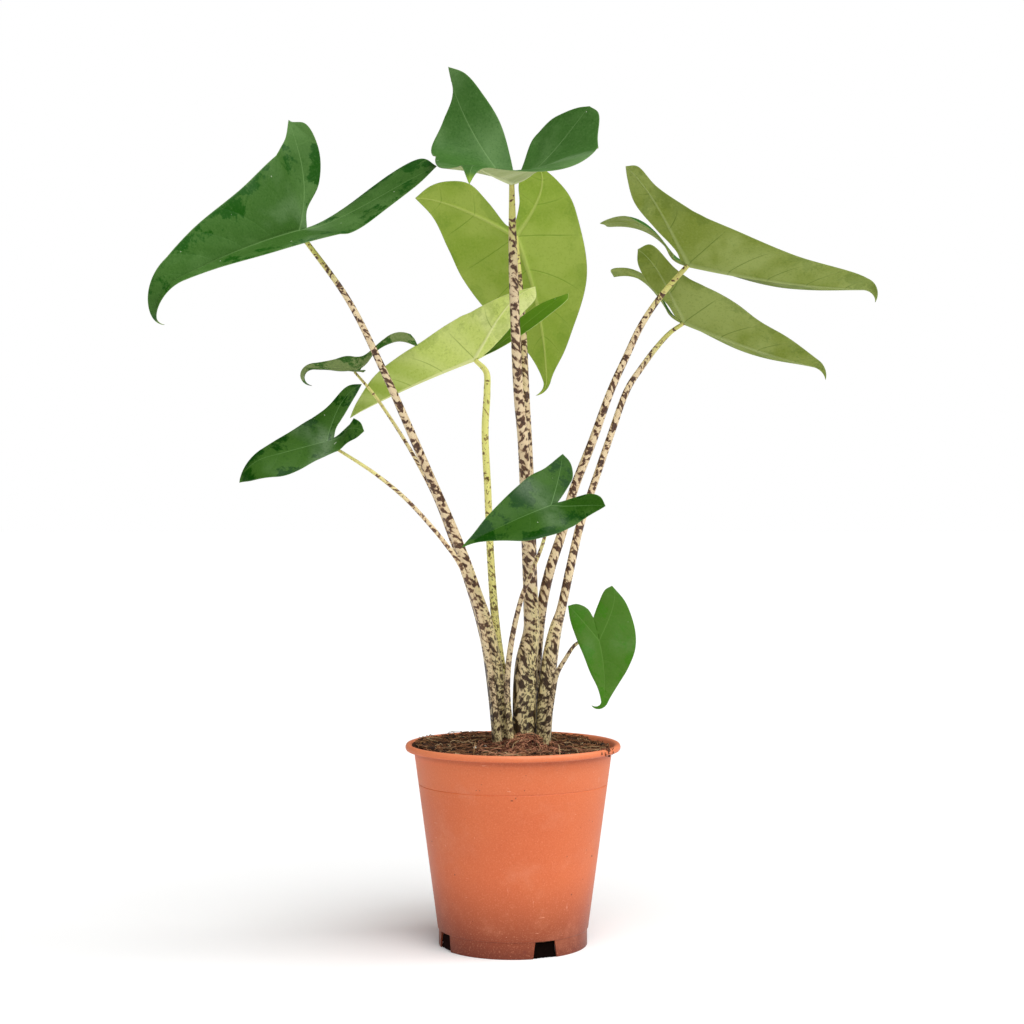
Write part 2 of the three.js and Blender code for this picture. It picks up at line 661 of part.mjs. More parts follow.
// Midline point and direction for one half, ahead of or behind the junction. The halves share the
// midline, so the lift behind the junction is their mean there and each half's own further out.
function midline(blade, half, u, v) {
  const place = new THREE.Vector3();
  const aheadStep = Math.max(u, 0) / BEND_STEPS;
  const behindStep = Math.max(-u, 0) / BEND_STEPS;
  const own = smoothstep(v, 0, BRIDGE);
  const blend = (value) => lerp((value(blade.left) + value(blade.right)) / 2, value(half), own);
  const reach = blend(reachOf);
  const firstLift = degToRad(blend((side) => side.lift[0]));
  const lastLift = degToRad(blend((side) => side.lift[1]));
  const rise = (back) => {
    const eased = 1 - Math.exp(-back / (reach * blade.ease));
    return lerp(firstLift, lastLift, back / reach) * eased;
  };
  const start = midribTurn(blade, 0).swing;
  for (let i = 0; i < BEND_STEPS; i += 1) {
    const { dip, swing } = midribTurn(blade, (i + 0.5) * aheadStep);
    place.x += Math.cos(dip) * Math.cos(swing) * aheadStep;
    place.y += Math.cos(dip) * Math.sin(swing) * aheadStep;
    place.z += Math.sin(dip) * aheadStep;
    const lift = rise((i + 0.5) * behindStep);
    place.x -= Math.cos(lift) * Math.cos(start) * behindStep;
    place.y -= Math.cos(lift) * Math.sin(start) * behindStep;
    place.z += Math.sin(lift) * behindStep;
  }
  const { dip, swing } = midribTurn(blade, Math.max(u, 0));
  return { place, dip: dip - rise(Math.max(-u, 0)), swing };
}

function bladePoint(blade, side, { x: u, y: v }) {
  const half = side > 0 ? blade.left : blade.right;
  const { ahead, left, up } = bladeAxes(blade);
  const { place, dip, swing } = midline(blade, half, u, v);
  const level = ahead.clone().multiplyScalar(Math.cos(swing)).addScaledVector(left, Math.sin(swing));
  const along = level.multiplyScalar(Math.cos(dip)).addScaledVector(up, Math.sin(dip));
  const across = left.clone().multiplyScalar(Math.cos(swing)).addScaledVector(ahead, -Math.sin(swing));
  const normal = new THREE.Vector3().crossVectors(along, across);
  const [lobeFold, junctionFold, tipFold] = half.fold.map(degToRad);
  const forward = clamp(u / blade.length, 0, 1);
  const backward = clamp(-u / reachOf(half), 0, 1);
  const fold = lerp(junctionFold, u < 0 ? lobeFold : tipFold, u < 0 ? backward : forward);
  // Across the half the blade is an arc that starts at the fold's angle
  const turn = (degToRad(half.curl) / widthOf(half)) * v;
  const straight = Math.abs(turn) < 1e-6;
  const sine = straight ? 1 : Math.sin(turn) / turn;
  const cosine = straight ? 0 : (1 - Math.cos(turn)) / turn;
  const out = v * (Math.cos(fold) * sine - Math.sin(fold) * cosine);
  const lengthwise = (u + reachOf(half)) / (blade.length + reachOf(half));
  const ripple = blade.wave * Math.sin(2 * Math.PI * WAVES * lengthwise);
  const rise = v * (Math.sin(fold) * sine + Math.cos(fold) * cosine)
    + ripple * clamp(v / widthOf(half), 0, 1.2) ** 2;
  return new THREE.Vector3(...blade.stalk[0])
    .addScaledVector(ahead, place.x)
    .addScaledVector(left, place.y)
    .addScaledVector(up, place.z)
    .addScaledVector(across, side * out)
    .addScaledVector(normal, rise);
}

// The blade's middle surface as one sheet of triangles facing up, with a keel depth at each vertex
function bladeSheet(blade) {
  const positions = [];
  const keels = [];
  const indices = [];
  const numbers = new Map();
  const vertex = (side, flat, keel) => {
    const onMidline = flat.y < 1e-6;
    const key = [onMidline ? 0 : side, flat.x.toFixed(3), flat.y.toFixed(3)].join();
    if (!numbers.has(key)) {
      numbers.set(key, positions.length);
      positions.push(bladePoint(blade, side, flat));
      keels.push(keel);
    }
    return numbers.get(key);
  };
  const triangle = (a, b, c, flip) => {
    if (a !== b && b !== c && c !== a) {
      indices.push(flip ? [a, c, b] : [a, b, c]);
    }
  };
  for (const side of [1, -1]) {
    const { outer, inner } = flatRows(blade, side > 0 ? blade.left : blade.right);
    for (const [rows, flip] of [[outer, side < 0], [inner, side > 0]]) {
      const ids = rows.map((row, i) => row.map((flat, j) => {
        const last = BLADE.lobeStations + BLADE.bladeStations;
        const taper = i < BLADE.lobeStations ? i / BLADE.lobeStations : (last - i) / BLADE.bladeStations;
        return vertex(side, flat, j === 0 ? BLADE.keel * taper : 0);
      }));
      for (let i = 0; i + 1 < ids.length; i += 1) {
        for (let j = 0; j + 1 < ids[i].length; j += 1) {
          triangle(ids[i][j], ids[i + 1][j], ids[i + 1][j + 1], flip);
          triangle(ids[i][j], ids[i + 1][j + 1], ids[i][j + 1], flip);
        }
      }
    }
  }
  return { positions, keels, indices };
}

function sheetNormals({ positions, indices }) {
  const normals = positions.map(() => new THREE.Vector3());
  for (const [a, b, c] of indices) {
    const first = positions[b].clone().sub(positions[a]);
    const second = positions[c].clone().sub(positions[a]);
    const facing = first.cross(second);
    for (const corner of [a, b, c]) {
      normals[corner].add(facing);
    }
  }
  return normals.map((normal) => normal.normalize());
}

// A closed slab on both sides of the sheet, with its rim walled
function bladeSolid(blade, above, below) {
  const sheet = bladeSheet(blade);
  const normals = sheetNormals(sheet);
  const count = sheet.positions.length;
  const places = new Float32Array(count * 6);
  for (let i = 0; i < count; i += 1) {
    const upper = sheet.positions[i].clone().addScaledVector(normals[i], above);
    const lower = sheet.positions[i].clone().addScaledVector(normals[i], -below - sheet.keels[i]);
    upper.toArray(places, i * 3);
    lower.toArray(places, (count + i) * 3);
  }
  const edges = new Map();
  const triangles = [];
  for (const [a, b, c] of sheet.indices) {
    triangles.push(a, b, c, count + a, count + c, count + b);
    for (const [from, to] of [[a, b], [b, c], [c, a]]) {
      edges.set(`${from},${to}`, [from, to]);
    }
  }
  for (const [from, to] of edges.values()) {
    if (!edges.has(`${to},${from}`)) {
      triangles.push(to, from, count + from, to, count + from, count + to);
    }
  }
  const geometry = new THREE.BufferGeometry();
  geometry.setAttribute("position", new THREE.BufferAttribute(places, 3));
  geometry.setIndex(triangles);
  return solidOf(geometry);
}

// The whole plant

function plantGroup() {
  const plant = new THREE.Group();
  plant.add(pieceMesh("pot", potSolid(), COLOURS.pot, 0.55));
  plant.add(pieceMesh("soil", soilSolid(), COLOURS.soil, 0.95));
  for (const [name, rootstock] of Object.entries(ROOTSTOCKS)) {
    plant.add(pieceMesh(`rootstock_${name}`, rootstockSolid(rootstock, 0), COLOURS.root, 0.8));
  }
  for (const [name, leaf] of Object.entries(LEAVES)) {
    const stalkColour = name === "young" ? COLOURS.youngStalk : COLOURS.zebraStalk;
    const bladeColour = leaf.pale ? COLOURS.paleBlade : COLOURS.darkBlade;
    const half = BLADE.thickness / 2;
    plant.add(pieceMesh(`stalk_${name}`, stalkSolid(name), stalkColour, 0.45));
    plant.add(pieceMesh(`blade_${name}`, bladeSolid(leaf, half, half), bladeColour, 0.4));
  }
  plant.position.set(-MIDDLE.x, -MIDDLE.y, 0);
  return plant;
}

export default plantGroup();
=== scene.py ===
# Potted zebra-stalked elephant's ear, Alocasia zebrina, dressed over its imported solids.
# Lengths are millimetres from the pot's axis on the floor until a mesh is made from them.
import math
from dataclasses import dataclass, replace
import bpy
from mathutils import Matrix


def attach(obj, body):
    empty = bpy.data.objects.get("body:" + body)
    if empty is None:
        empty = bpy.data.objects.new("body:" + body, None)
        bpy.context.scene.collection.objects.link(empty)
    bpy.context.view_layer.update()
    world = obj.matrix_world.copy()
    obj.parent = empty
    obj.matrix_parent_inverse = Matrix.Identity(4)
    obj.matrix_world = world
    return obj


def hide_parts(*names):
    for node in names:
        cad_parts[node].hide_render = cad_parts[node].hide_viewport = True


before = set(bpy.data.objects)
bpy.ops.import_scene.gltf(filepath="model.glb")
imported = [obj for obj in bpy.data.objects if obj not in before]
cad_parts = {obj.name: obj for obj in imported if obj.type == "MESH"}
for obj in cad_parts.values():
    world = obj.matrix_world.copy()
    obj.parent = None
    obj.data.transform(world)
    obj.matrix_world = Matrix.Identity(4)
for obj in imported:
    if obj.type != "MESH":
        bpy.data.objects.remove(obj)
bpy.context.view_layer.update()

from types import SimpleNamespace as Sizes

import bmesh
import bpy
import numpy as np
from mathutils import Vector, noise

MM = 0.001
FULL_TURN = 2 * np.pi
# Middle of the plant's outline, seen from above, measured from the pot's axis
MIDDLE = (16, -22.5)
RANDOM = np.random.default_rng(11)

# Pot, as in the solids, with a full round lip. The lip's corners are set in and down by these.
POT = Sizes(
    segments=256, rim_radius=85, height=158, lip_height=5.5, mouth_radius=82, wall=1.5,
    foot_radius=58.5, foot_height=13.3, foot_step=0.4, body_foot_radius=59.3, body_top_radius=78.1,
    groove_height=127, groove_depth=0.5, groove_half=0.55, floor_top=12, lip_foot=151, lip_round=1.1,
    lip_under=(0.8, 0.3), lip_over=(1, 0.3), mouth_bevel=2, corner=1.2, sharp=50, axis_gap=0.01,
)
NOTCH = Sizes(count=4, first_angle=25, width=20.3, top_share=0.82, bottom=-1, top=13, depth=17, out=4)

# Soil: heights of its top at the pot's wall on four sides, the mound round the stalks, its lumps'
# heights, sizes and seeds, how near the wall they fade out, and how far from it loose things lie
SOIL = Sizes(
    front=153, back=156, left=157, right=153, mound=5, mound_radius=34, heart=(9, -3), gap=0.3,
    rings=64, segments=220, lumps=((2.2, 14, 1), (1.5, 5, 2), (0.9, 2.2, 3)), sunk=0.6,
    centre=0.004, near_wall=(-2, 6), loose_from=2.5,
)
# Loose fibres heaped in front of the stalks, soil spilt over the lip, a pebble, soil in the drain
# notches made near-black as painted shade, and upright stubs of fibre as x, y, height, lean and radius
PILE = Sizes(x=10, y=-20, wide=32, deep=20, height=7, spread=14)
SPILL = Sizes(turn=-29, spread=4, inner=79, outer=86.5, sunk=0.6, fall=(0.5, 4), proud=0.1)
PEBBLE = (-29.5, -40, 158.4)
DRAIN = Sizes(front=2.2, back=43, gap=0.3, columns=14, rows=10, rough=0.3)
STUBS = ((-30, -60, 13.5, 1.5, 0.5), (35.6, -60, 12.5, -1, 0.42))
# A loose fibre's points, curl and waves, and how it lies; a crumb's shape and how high it lies
FIBRE = Sizes(points=9, curl=1.6, wave=0.5, waves=9, above=0.4, rough=0.35, from_wall=1)
CRUMB = Sizes(stretch=(0.5, 1.2), dents=(0.75, 1.15), above=0.35)
# Layers of loose fibre: how many, their lengths, how high they arch, and their radii
FIBRES = dict(
    brown=Sizes(count=1300, lengths=(9, 36), arch=2.8, radii=(0.2, 0.36)),
    straw=Sizes(count=260, lengths=(10, 38), arch=3.4, radii=(0.16, 0.28)),
    red=Sizes(count=460, lengths=(9, 28), arch=3.8, radii=(0.22, 0.38)),
)
# Layers of crumbs: how many, and their sizes
CRUMBS = dict(
    bark_crumbs=Sizes(count=620, sizes=(0.6, 2.6)),
    perlite_grains=Sizes(count=14, sizes=(1, 2)),
    spilt_crumbs=Sizes(count=60, sizes=(0.5, 1.3)),
)

# Camera: lens in millimetres on a 36 mm sensor, and its place from the pot's axis on the floor
LENS = 66.8
EYE = (-0.8, -1500, 340)
# Strength of the even light from all round, and the lamps: from where, how strong, how broad
SKY = 0.18
SUNS = dict(side=((1.0, 0.0, 0.9), 0.7, 26), front=((0.5, -1.0, 1.75), 2.9, 60))

# Stalks: distance between rings, how far below the blade they end, the sheath's raised edge and
# the wall tucked in beside it as shares of the radius, fine ridges, and how much finer the
# markings are drawn on thin stalks
STALK = Sizes(
    sides=44, ring_step=2.0, foot=130, head_room=1.3, sheath_rise=0.13, sheath_tuck=0.35,
    sheath_fade=24, sheath_edge=0.004, sheath_thins=1.5, ridges=5, ridge=0.035, far=40,
    fine_radii=(1, 2, 4.5), fine_scales=(1.9, 1.4, 1),
)

# Blades: mesh steps, thickness at the middle and at the margin, how far the skin bulges between
# side veins, how proud the side veins stand below and above and where they are clear of rib and
# margin, and the radius of the fold between the lobes. Relief is scaled down on small blades.
BLADE = Sizes(
    row_step=1.7, column_step=2.3, crowding=1.6, inner_columns=0.6, thickness=0.72, margin=0.34,
    thick_from=6, quilt=0.45, vein=0.16, vein_above=0.8, vein_width=0.9, clear_rib=14,
    clear_margin=10, crease=3, full_size=130, least=0.5, stations=201, lift_steps=32,
)
# The midrib and the lobes' ribs: radius, and how much and how fast they thin to their ends
RIB = Sizes(
    radius=2.2, full_size=150, least=0.42, width=1.8, above=0.22, from_margin=3,
    ahead=(0.93, 0.75), behind=(0.92, 0.55),
)
VEINS = Sizes(spacing=30, fewest=4, most=6, on_lobe=3, lean=0.56, curve=1.3)
# Where a blade's widest rows start, how far its two sides are eased into each other, how many
# waves its margin has, and where a lobe's rib runs between its margins
SHOULDER = 0.12
BRIDGE = 14
WAVES = 2.5
RIB_SHARE = 0.45


@dataclass
class Half:
    """One side of a blade laid flat, as distances ahead of the junction and out from the midrib.

    fold: degrees up at the lobe, the junction and the tip. lift: degrees that the lobe rises at
    its root and its end. outer, inner: the margins from the lobe's tip on. curl: degrees.
    """
    fold: tuple
    lift: tuple
    outer: list
    inner: list
    curl: float = -8

    def reach(self):
        return max(-u for u, _ in self.outer)

    def width(self):
        return max(v for _, v in self.outer)


@dataclass
class Leaf:
    """A leaf, as in the solids. stalk: points from the junction down to the soil, and radius.

    sheath: height of the top of the open sheath and the angle of its edge there and at the soil.
    aim: heading, pitch and roll. ease: share of the lobe's reach over which its lift sets in.
    """
    look: str
    sheath: tuple
    aim: tuple
    length: float
    stalk: list
    left: Half
    right: Half
    droop: float = 0
    hook: float = 10
    hook_from: float = 0.88
    sweep: tuple = (0, 0, 0)
    sinus: float = 6
    wave: float = 1
    ease: float = 0.2


LEAVES = dict(
    top_left=Leaf(
        look="mature", sheath=(316, 0, -62), aim=(230, -17, -36), length=175,
        droop=20, hook=140, hook_from=0.7, sinus=8, ease=0.5,
        stalk=[
            (-163, -50, 555, 1.8), (-126, -47, 502, 2.3), (-101, -43, 452, 2.7),
            (-83, -39, 411.5, 3.1), (-67, -34, 374, 3.4), (-43.5, -26, 318, 4.1),
            (-30.5, -20, 279, 5), (-21, -16, 248, 6), (-13.5, -10, 204, 7), (-8.5, -3, 150, 7.5)],
        left=Half(
            fold=(24, 27, 16), lift=(68, 38), curl=0,
            outer=[(-108, 50), (-87, 53), (-51, 48), (-9, 44), (51, 29), (94, 13), (123, 6), (152, 3)],
            inner=[(-110, 26), (-73, 10), (-44, 4)]),
        right=Half(
            fold=(37, 50, 39), lift=(18, 57),
            outer=[(-72, 77), (-46, 69), (-9, 62), (42, 41), (93, 27), (127, 15), (154, 4)],
            inner=[(-72, 75), (-82, 66), (-71, 48), (-43, 27), (-16, 14)]),
    ),
    top_centre=Leaf(
        look="calm", sheath=(300, -40, -75), aim=(256, -5, 0), length=130,
        droop=-4, hook=90, hook_from=0.82, sinus=10,
        stalk=[
            (-1, -70, 588, 2), (0, -58, 532, 3.4), (2.3, -45, 468, 3.7), (4.6, -36, 427, 3.9),
            (7.7, -30, 396, 4.2), (11.7, -14, 318, 5.1), (14, -7.5, 262, 5.8), (14.3, -6, 247, 6.2),
            (12.6, -5, 236, 7.2), (10.4, -4.5, 222, 8.5), (9.2, -4, 201, 9.3), (9, -3, 150, 9.3)],
        left=Half(
            fold=(24, 24, -16), lift=(30, 72),
            outer=[(-80, 57), (-71, 65), (-39, 67), (5, 71), (35, 66), (65, 50), (92, 28), (112, 9)],
            inner=[(-81, 47), (-79, 34), (-75, 22), (-61, 8), (-35, 2)]),
        right=Half(
            fold=(24, 24, -2), lift=(50, 110),
            outer=[
                (-120, 57), (-95, 55), (-68, 63), (-36, 70), (5, 61), (40, 48), (75, 30), (108, 10)],
            inner=[(-113, 45), (-92, 31), (-70, 19), (-40, 9)]),
    ),
    back_centre=Leaf(
        look="pale", sheath=(290, 200, 220), aim=(37, -62, -40), length=149,
        droop=-8, sweep=(0, 22, 90), sinus=8,
        stalk=[
            (2.5, 85, 570, 2), (6.7, 74, 516, 2.5), (9, 64, 477, 2.8), (10.6, 52, 432, 3.1),
            (12.2, 44, 398, 3.3), (14.5, 26, 317, 4.2), (14.6, 18, 238, 4.8), (8, 19.5, 150, 5)],
        left=Half(
            fold=(15, 15, 15), lift=(0, 0), curl=-10,
            outer=[(-58, 72), (-37, 64), (-9, 62), (24, 60), (56, 50), (90, 27), (112, 12), (132, 3)],
            inner=[(-63, 55), (-62, 40), (-54, 22), (-34, 12), (-11, 4)]),
        right=Half(
            fold=(15, 15, 15), lift=(0, 0), curl=-10,
            outer=[(-50, 38), (-32, 48), (-13, 54), (9, 53), (48, 46), (89, 25), (105, 17), (127, 5)],
            inner=[(-50, 26), (-38, 18), (-24, 13), (-10, 3)]),
    ),
    young=Leaf(
        look="young", sheath=(240, 180, 200), aim=(176, -21, 25), length=110, droop=8,
        stalk=[
            (-30.2, 8, 461.4, 1.8), (-21.3, 5, 451, 2.4), (-20.5, 2, 436, 2.7), (-22, -3, 404, 2.8),
            (-19.7, -6, 354, 2.8), (-18, -6, 312, 2.9), (-15.8, -5, 277, 3.1),
            (-13.2, -3, 247, 3.3), (-7.4, 3, 204, 3.5), (-1.5, 9.5, 150, 3.6)],
        left=Half(
            fold=(48, 48, 48), lift=(4, 10), curl=30,
            outer=[(-70, 32), (-46, 37), (-18, 39), (7, 34), (31, 29), (54, 26), (77, 20), (97, 9)],
            inner=[(-66, 24), (-50, 18), (-25, 8)]),
        right=Half(
            fold=(48, 48, 48), lift=(4, 10), curl=10,
            outer=[(-94, 44), (-70, 50), (-40, 46), (-10, 40), (30, 30), (54, 25), (77, 18), (97, 8)],
            inner=[(-90, 34), (-70, 24), (-35, 10)]),
    ),
    upper_right=Leaf(
        look="olive", sheath=(285, 190, 215), aim=(5, -13, -19), length=164,
        droop=-14, hook=110, hook_from=0.9, ease=0.55,
        stalk=[
            (140.7, 28, 539.4, 2), (119.2, 30, 514, 2.3), (103.1, 31, 490, 2.6),
            (91, 31, 464.5, 2.8), (78.8, 29, 437.7, 3), (64.2, 26, 397.8, 3.4), (48, 22, 356, 3.6),
            (39, 18, 323, 3.8), (29.5, 14, 294, 4), (22.5, 10.5, 262, 4.2), (17.5, 9.5, 201, 4.3),
            (18, 9.5, 150, 4.4)],
        left=Half(
            fold=(20, 37, 9), lift=(172, -30), curl=-12,
            outer=[
                (-75, 42), (-69, 54), (-40, 41), (-10, 32), (16, 34), (46, 39), (81, 32),
                (111, 19), (137, 6)],
            inner=[(-80, 29), (-61, 11), (-24, 12)]),
        right=Half(
            fold=(46, 25, 24), lift=(6, 12),
            outer=[
                (-77, 62), (-68, 66), (-47, 58), (-14, 53), (21, 45), (47, 38), (81, 29), (142, 14)],
            inner=[(-72, 54), (-59, 38), (-35, 24), (-15, 12)]),
    ),
    lower_right=Leaf(
        look="olive", sheath=(272, 190, 225), aim=(5, -23, -19), length=132,
        droop=-12, hook=80, sinus=8, ease=0.55,
        stalk=[
            (141.3, 70, 497, 1.6), (129.7, 69, 488, 1.9), (117, 66, 474, 2.2),
            (105.2, 61, 458, 2.4), (94, 55, 441, 2.6), (78, 43, 398.5, 2.8), (63, 31, 356, 3),
            (53.7, 24, 329, 3.3), (45.4, 15, 294.6, 3.5), (38, 7, 262, 3.8),
            (33.5, 4, 247, 5), (29, 0, 224, 6.2), (24.8, -6, 180, 6.2), (23.5, -10.5, 150, 5.8)],
        left=Half(
            fold=(10, 32, 7), lift=(160, -11), curl=-12,
            outer=[
                (-75, 47), (-72, 40), (-43, 32), (-12, 26), (8, 29), (28, 31), (54, 28),
                (80, 19), (108, 4)],
            inner=[(-80, 33), (-48, 16), (-26, 9)]),
        right=Half(
            fold=(46, 26, 26), lift=(4, 10),
            outer=[(-64, 39), (-57, 48), (-28, 43), (5, 43), (30, 38), (54, 30), (82, 23), (112, 10)],
            inner=[(-58, 29), (-43, 19), (-26, 12)]),
    ),
    mid_left=Leaf(
        look="shiny", sheath=(205, 180, 200), aim=(205, -15, -38), length=80,
        hook=76, hook_from=0.62, wave=0.6, ease=0.3,
        stalk=[
            (-142, -50, 394, 1), (-136, -50, 389, 1.1), (-118.3, -50, 378, 1.3),
            (-103, -49, 367.5, 1.4), (-81, -47, 349, 1.5), (-53.7, -42, 318, 1.7),
            (-40, -38, 298, 1.8), (-27, -30, 262.6, 2.1), (-18, -22, 217, 2.6),
            (-10.5, -14, 150, 3)],
        left=Half(
            fold=(-12, 8, -13), lift=(112, 70),
            outer=[(-29, 26), (-22, 24), (-9, 16), (15, 18), (33, 22), (49, 21), (69, 11)],
            inner=[(-33, 19), (-26, 4)]),
        right=Half(
            fold=(26, 6, -10), lift=(28, 10),
            outer=[(-46, 33), (-37, 37), (-18, 32), (0, 29), (20, 22), (36, 17), (58, 8)],
            inner=[(-40, 28), (-27, 19), (-14, 10)]),
    ),
    small_left=Leaf(
        look="folded", sheath=(220, 180, 200), aim=(192, 6, -17), length=55,
        droop=6, hook=171, hook_from=0.58, sinus=4, wave=0.6, ease=0.5,
        stalk=[
            (-124, -10, 451, 1), (-109.7, -12, 433, 1.2), (-97, -14, 415, 1.3),
            (-84.4, -15, 395.5, 1.4), (-72, -16, 374, 1.6), (-60, -15, 350, 1.8),
            (-47.8, -12, 318, 2), (-37, -8, 288, 2.3), (-26, -3, 251, 2.6), (-18.2, 2, 211, 2.8),
            (-12, 7.5, 150, 3)],
        left=Half(
            fold=(10, 15, -9), lift=(12, 10),
            outer=[(-6, 10), (-4, 14), (8, 13), (27, 10), (42, 4)], inner=[(-8, 5)]),
        right=Half(
            fold=(42, 19, 38), lift=(131, 28), curl=8,
            outer=[(-51, 10), (-36, 13), (-15, 16), (5, 17), (18, 10), (33, 4), (46, 4)],
            inner=[(-53, 7), (-38, 9), (-10, 10)]),
    ),
    front=Leaf(
        look="shiny", sheath=(212, 0, -60), aim=(210, -18, -40), length=80, droop=12, wave=0.6,
        stalk=[
            (28.5, -70, 345, 1.2), (22.7, -58, 316.5, 1.4), (12.2, -48, 289.6, 1.7),
            (6, -38, 272, 1.9), (-1.6, -26, 237, 2.2), (-4.7, -18.5, 201, 2.5), (-1, -15.5, 150, 2.8)],
        left=Half(
            fold=(10, 10, 10), lift=(15, 45),
            outer=[(-31, 32), (-13, 28), (2, 29), (16, 30), (28, 28), (39, 24), (54, 13), (68, 4)],
            inner=[(-33, 23), (-29, 14), (-19, 5)]),
        right=Half(
            fold=(25, 25, 25), lift=(4, 10),
            outer=[(-33, 34), (-15, 30), (3, 28), (15, 24), (30, 19), (52, 11), (68, 4)],
            inner=[(-34, 25), (-29, 14), (-21, 8)]),
    ),
    low_right=Leaf(
        look="glossy", sheath=(190, 180, 220), aim=(275, -75, 0), length=60,
        droop=5, hook=30, hook_from=0.78, sweep=(12, -6, -150), sinus=18, wave=0.5,
        stalk=[
            (65.6, -50, 242, 1.1), (57.4, -44, 241, 1.2), (49, -40, 239, 1.3), (40, -33, 226, 1.6),
            (34, -28, 214.5, 1.9), (31, -25, 200, 2.2), (24.5, -21.3, 150, 2.6)],
        left=Half(
            fold=(10, 10, 10), lift=(0, 0), curl=-12,
            outer=[(-39, 20), (-24, 27), (-4, 29), (10, 26), (22, 19), (36, 9), (47, 3)],
            inner=[(-37, 14), (-27, 6)]),
        right=Half(
            fold=(10, 10, 10), lift=(0, 0), curl=-12,
            outer=[(-31, 17), (-20, 18), (-8, 17), (6, 15), (24, 11), (38, 5), (48, 2)],
            inner=[(-31, 10), (-26, 3)]),
    ),
)


# Shared helpers

def smooth(value, low, high):
    share = np.clip((np.asarray(value, float) - low) / (high - low), 0, 1)
    return share * share * (3 - 2 * share)


def mix(start, end, share):
    return start + (end - start) * share


def unit(vectors, least=1e-9):
    return vectors / np.maximum(np.linalg.norm(vectors, axis=-1), least)[..., None]


def spline(points, samples=24):
    """A centripetal curve through the points: places, the share of its length at each, its length."""
    ends = np.asarray(points, float)
    ends = np.vstack([2 * ends[0] - ends[1], ends, 2 * ends[-1] - ends[-2]])
    steps = np.linspace(0, 1, samples, endpoint=False)[:, None]
    cube = steps ** 3
    square = steps ** 2
    places = []
    for a, b, c, d in zip(ends, ends[1:], ends[2:], ends[3:]):
        before, within, after = (
            max(np.linalg.norm((end - start)[:3]), 1e-6) ** 0.5 for start, end in ((a, b), (b, c), (c, d)))
        leave = ((b - a) / before - (c - a) / (before + within) + (c - b) / within) * within
        arrive = ((c - b) / within - (d - b) / (within + after) + (d - c) / after) * within
        places.append(
            (2 * cube - 3 * square + 1) * b + (cube - 2 * square + steps) * leave
            + (3 * square - 2 * cube) * c + (cube - square) * arrive)
    places = np.vstack([*places, ends[-2][None]])
    gone = np.r_[0, np.cumsum(np.linalg.norm(np.diff(places[:, :3], axis=0), axis=1))]
    return places, gone / gone[-1], gone[-1]


def at_share(curve, share):
    places, shares, _ = curve
    return np.stack([np.interp(share, shares, column) for column in places.T], -1)


def make_mesh(name, points, faces, materials=(), kinds=None, attributes=None):
    """A smooth-shaded object from points in millimetres measured from the pot's axis."""
    places = (np.asarray(points, float) - (*MIDDLE, 0)) * MM
    mesh = bpy.data.meshes.new(name)
    mesh.from_pydata(places.tolist(), [], [list(map(int, face)) for face in faces])
    for material in materials:
        mesh.materials.append(material)
    if kinds is not None:
        mesh.polygons.foreach_set("material_index", np.asarray(kinds, np.int32))
    mesh.polygons.foreach_set("use_smooth", np.ones(len(mesh.polygons), bool))
    for key, values in (attributes or {}).items():
        values = np.asarray(values, np.float32)
        kind, part = ("FLOAT", "value") if values.ndim == 1 else ("FLOAT_VECTOR", "vector")
        mesh.attributes.new(key, kind, "POINT").data.foreach_set(part, values.ravel())
    mesh.validate()
    mesh.update()
    piece = bpy.data.objects.new(name, mesh)
    bpy.context.scene.collection.objects.link(piece)
    return piece


def keep(piece, slot, *nodes):
    """Sets a finished piece on the plant, in place of the solids that it stands for."""
    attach(piece, "root")
    if nodes:
        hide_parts(*nodes)


def tube_faces(rows, columns, closed=True):
    """Quads round rings of points numbered ring by ring, with a face over each end if closed."""
    faces = []
    for low in range(0, (rows - 1) * columns, columns):
        for column in range(columns):
            beside = (column + 1) % columns
            faces.append((low + column, low + beside, low + columns + beside, low + columns + column))
    if closed:
        faces.append(tuple(range(columns))[::-1])
        faces.append(tuple(range((rows - 1) * columns, rows * columns)))
    return faces


# Blades laid flat

def flat_half(blade, half):
    """Rows of flat points from the rib and midrib out, and from the rib in to the lobe's margin.

    Each block holds its points, the share along its spine of each row, and across of each column.
    """
    lobe_tip = np.array(half.outer[0], float)
    outer = spline([*half.outer, (blade.length, 0)])
    inner = spline([half.outer[0], *half.inner, (-blade.sinus, 0)])
    shoulder = outer[1][np.argmax(outer[0][:, 0] >= SHOULDER * blade.length)]
    rib_middle = mix(at_share(inner, 0.5), at_share(outer, shoulder / 2), RIB_SHARE)
    control = 2 * rib_middle - 0.5 * lobe_tip
    columns = max(9, round(half.width() / BLADE.column_step))
    back = np.linspace(0, 1, max(8, round(np.linalg.norm(lobe_tip) / BLADE.row_step)) + 1)
    ahead = np.linspace(0, 1, max(20, round(blade.length / BLADE.row_step)) + 1)
    rib = (1 - back)[:, None] ** 2 * lobe_tip + (2 * back * (1 - back))[:, None] * control
    midrib = np.stack([blade.length * ahead, 0 * ahead], 1)
    blocks = []
    for spine, margin, along, cells in (
        (rib, at_share(outer, shoulder * back), back - 1, columns),
        (midrib, at_share(outer, mix(shoulder, 1, ahead)), ahead, columns),
        (rib, at_share(inner, back), back - 1, max(6, round(columns * BLADE.inner_columns))),
    ):
        across = np.linspace(0, 1, cells + 1) ** BLADE.crowding
        points = spine[:, None] * (1 - across)[None, :, None] + margin[:, None] * across[None, :, None]
        blocks.append((points, along, across))
    return blocks


# Blades bent to shape

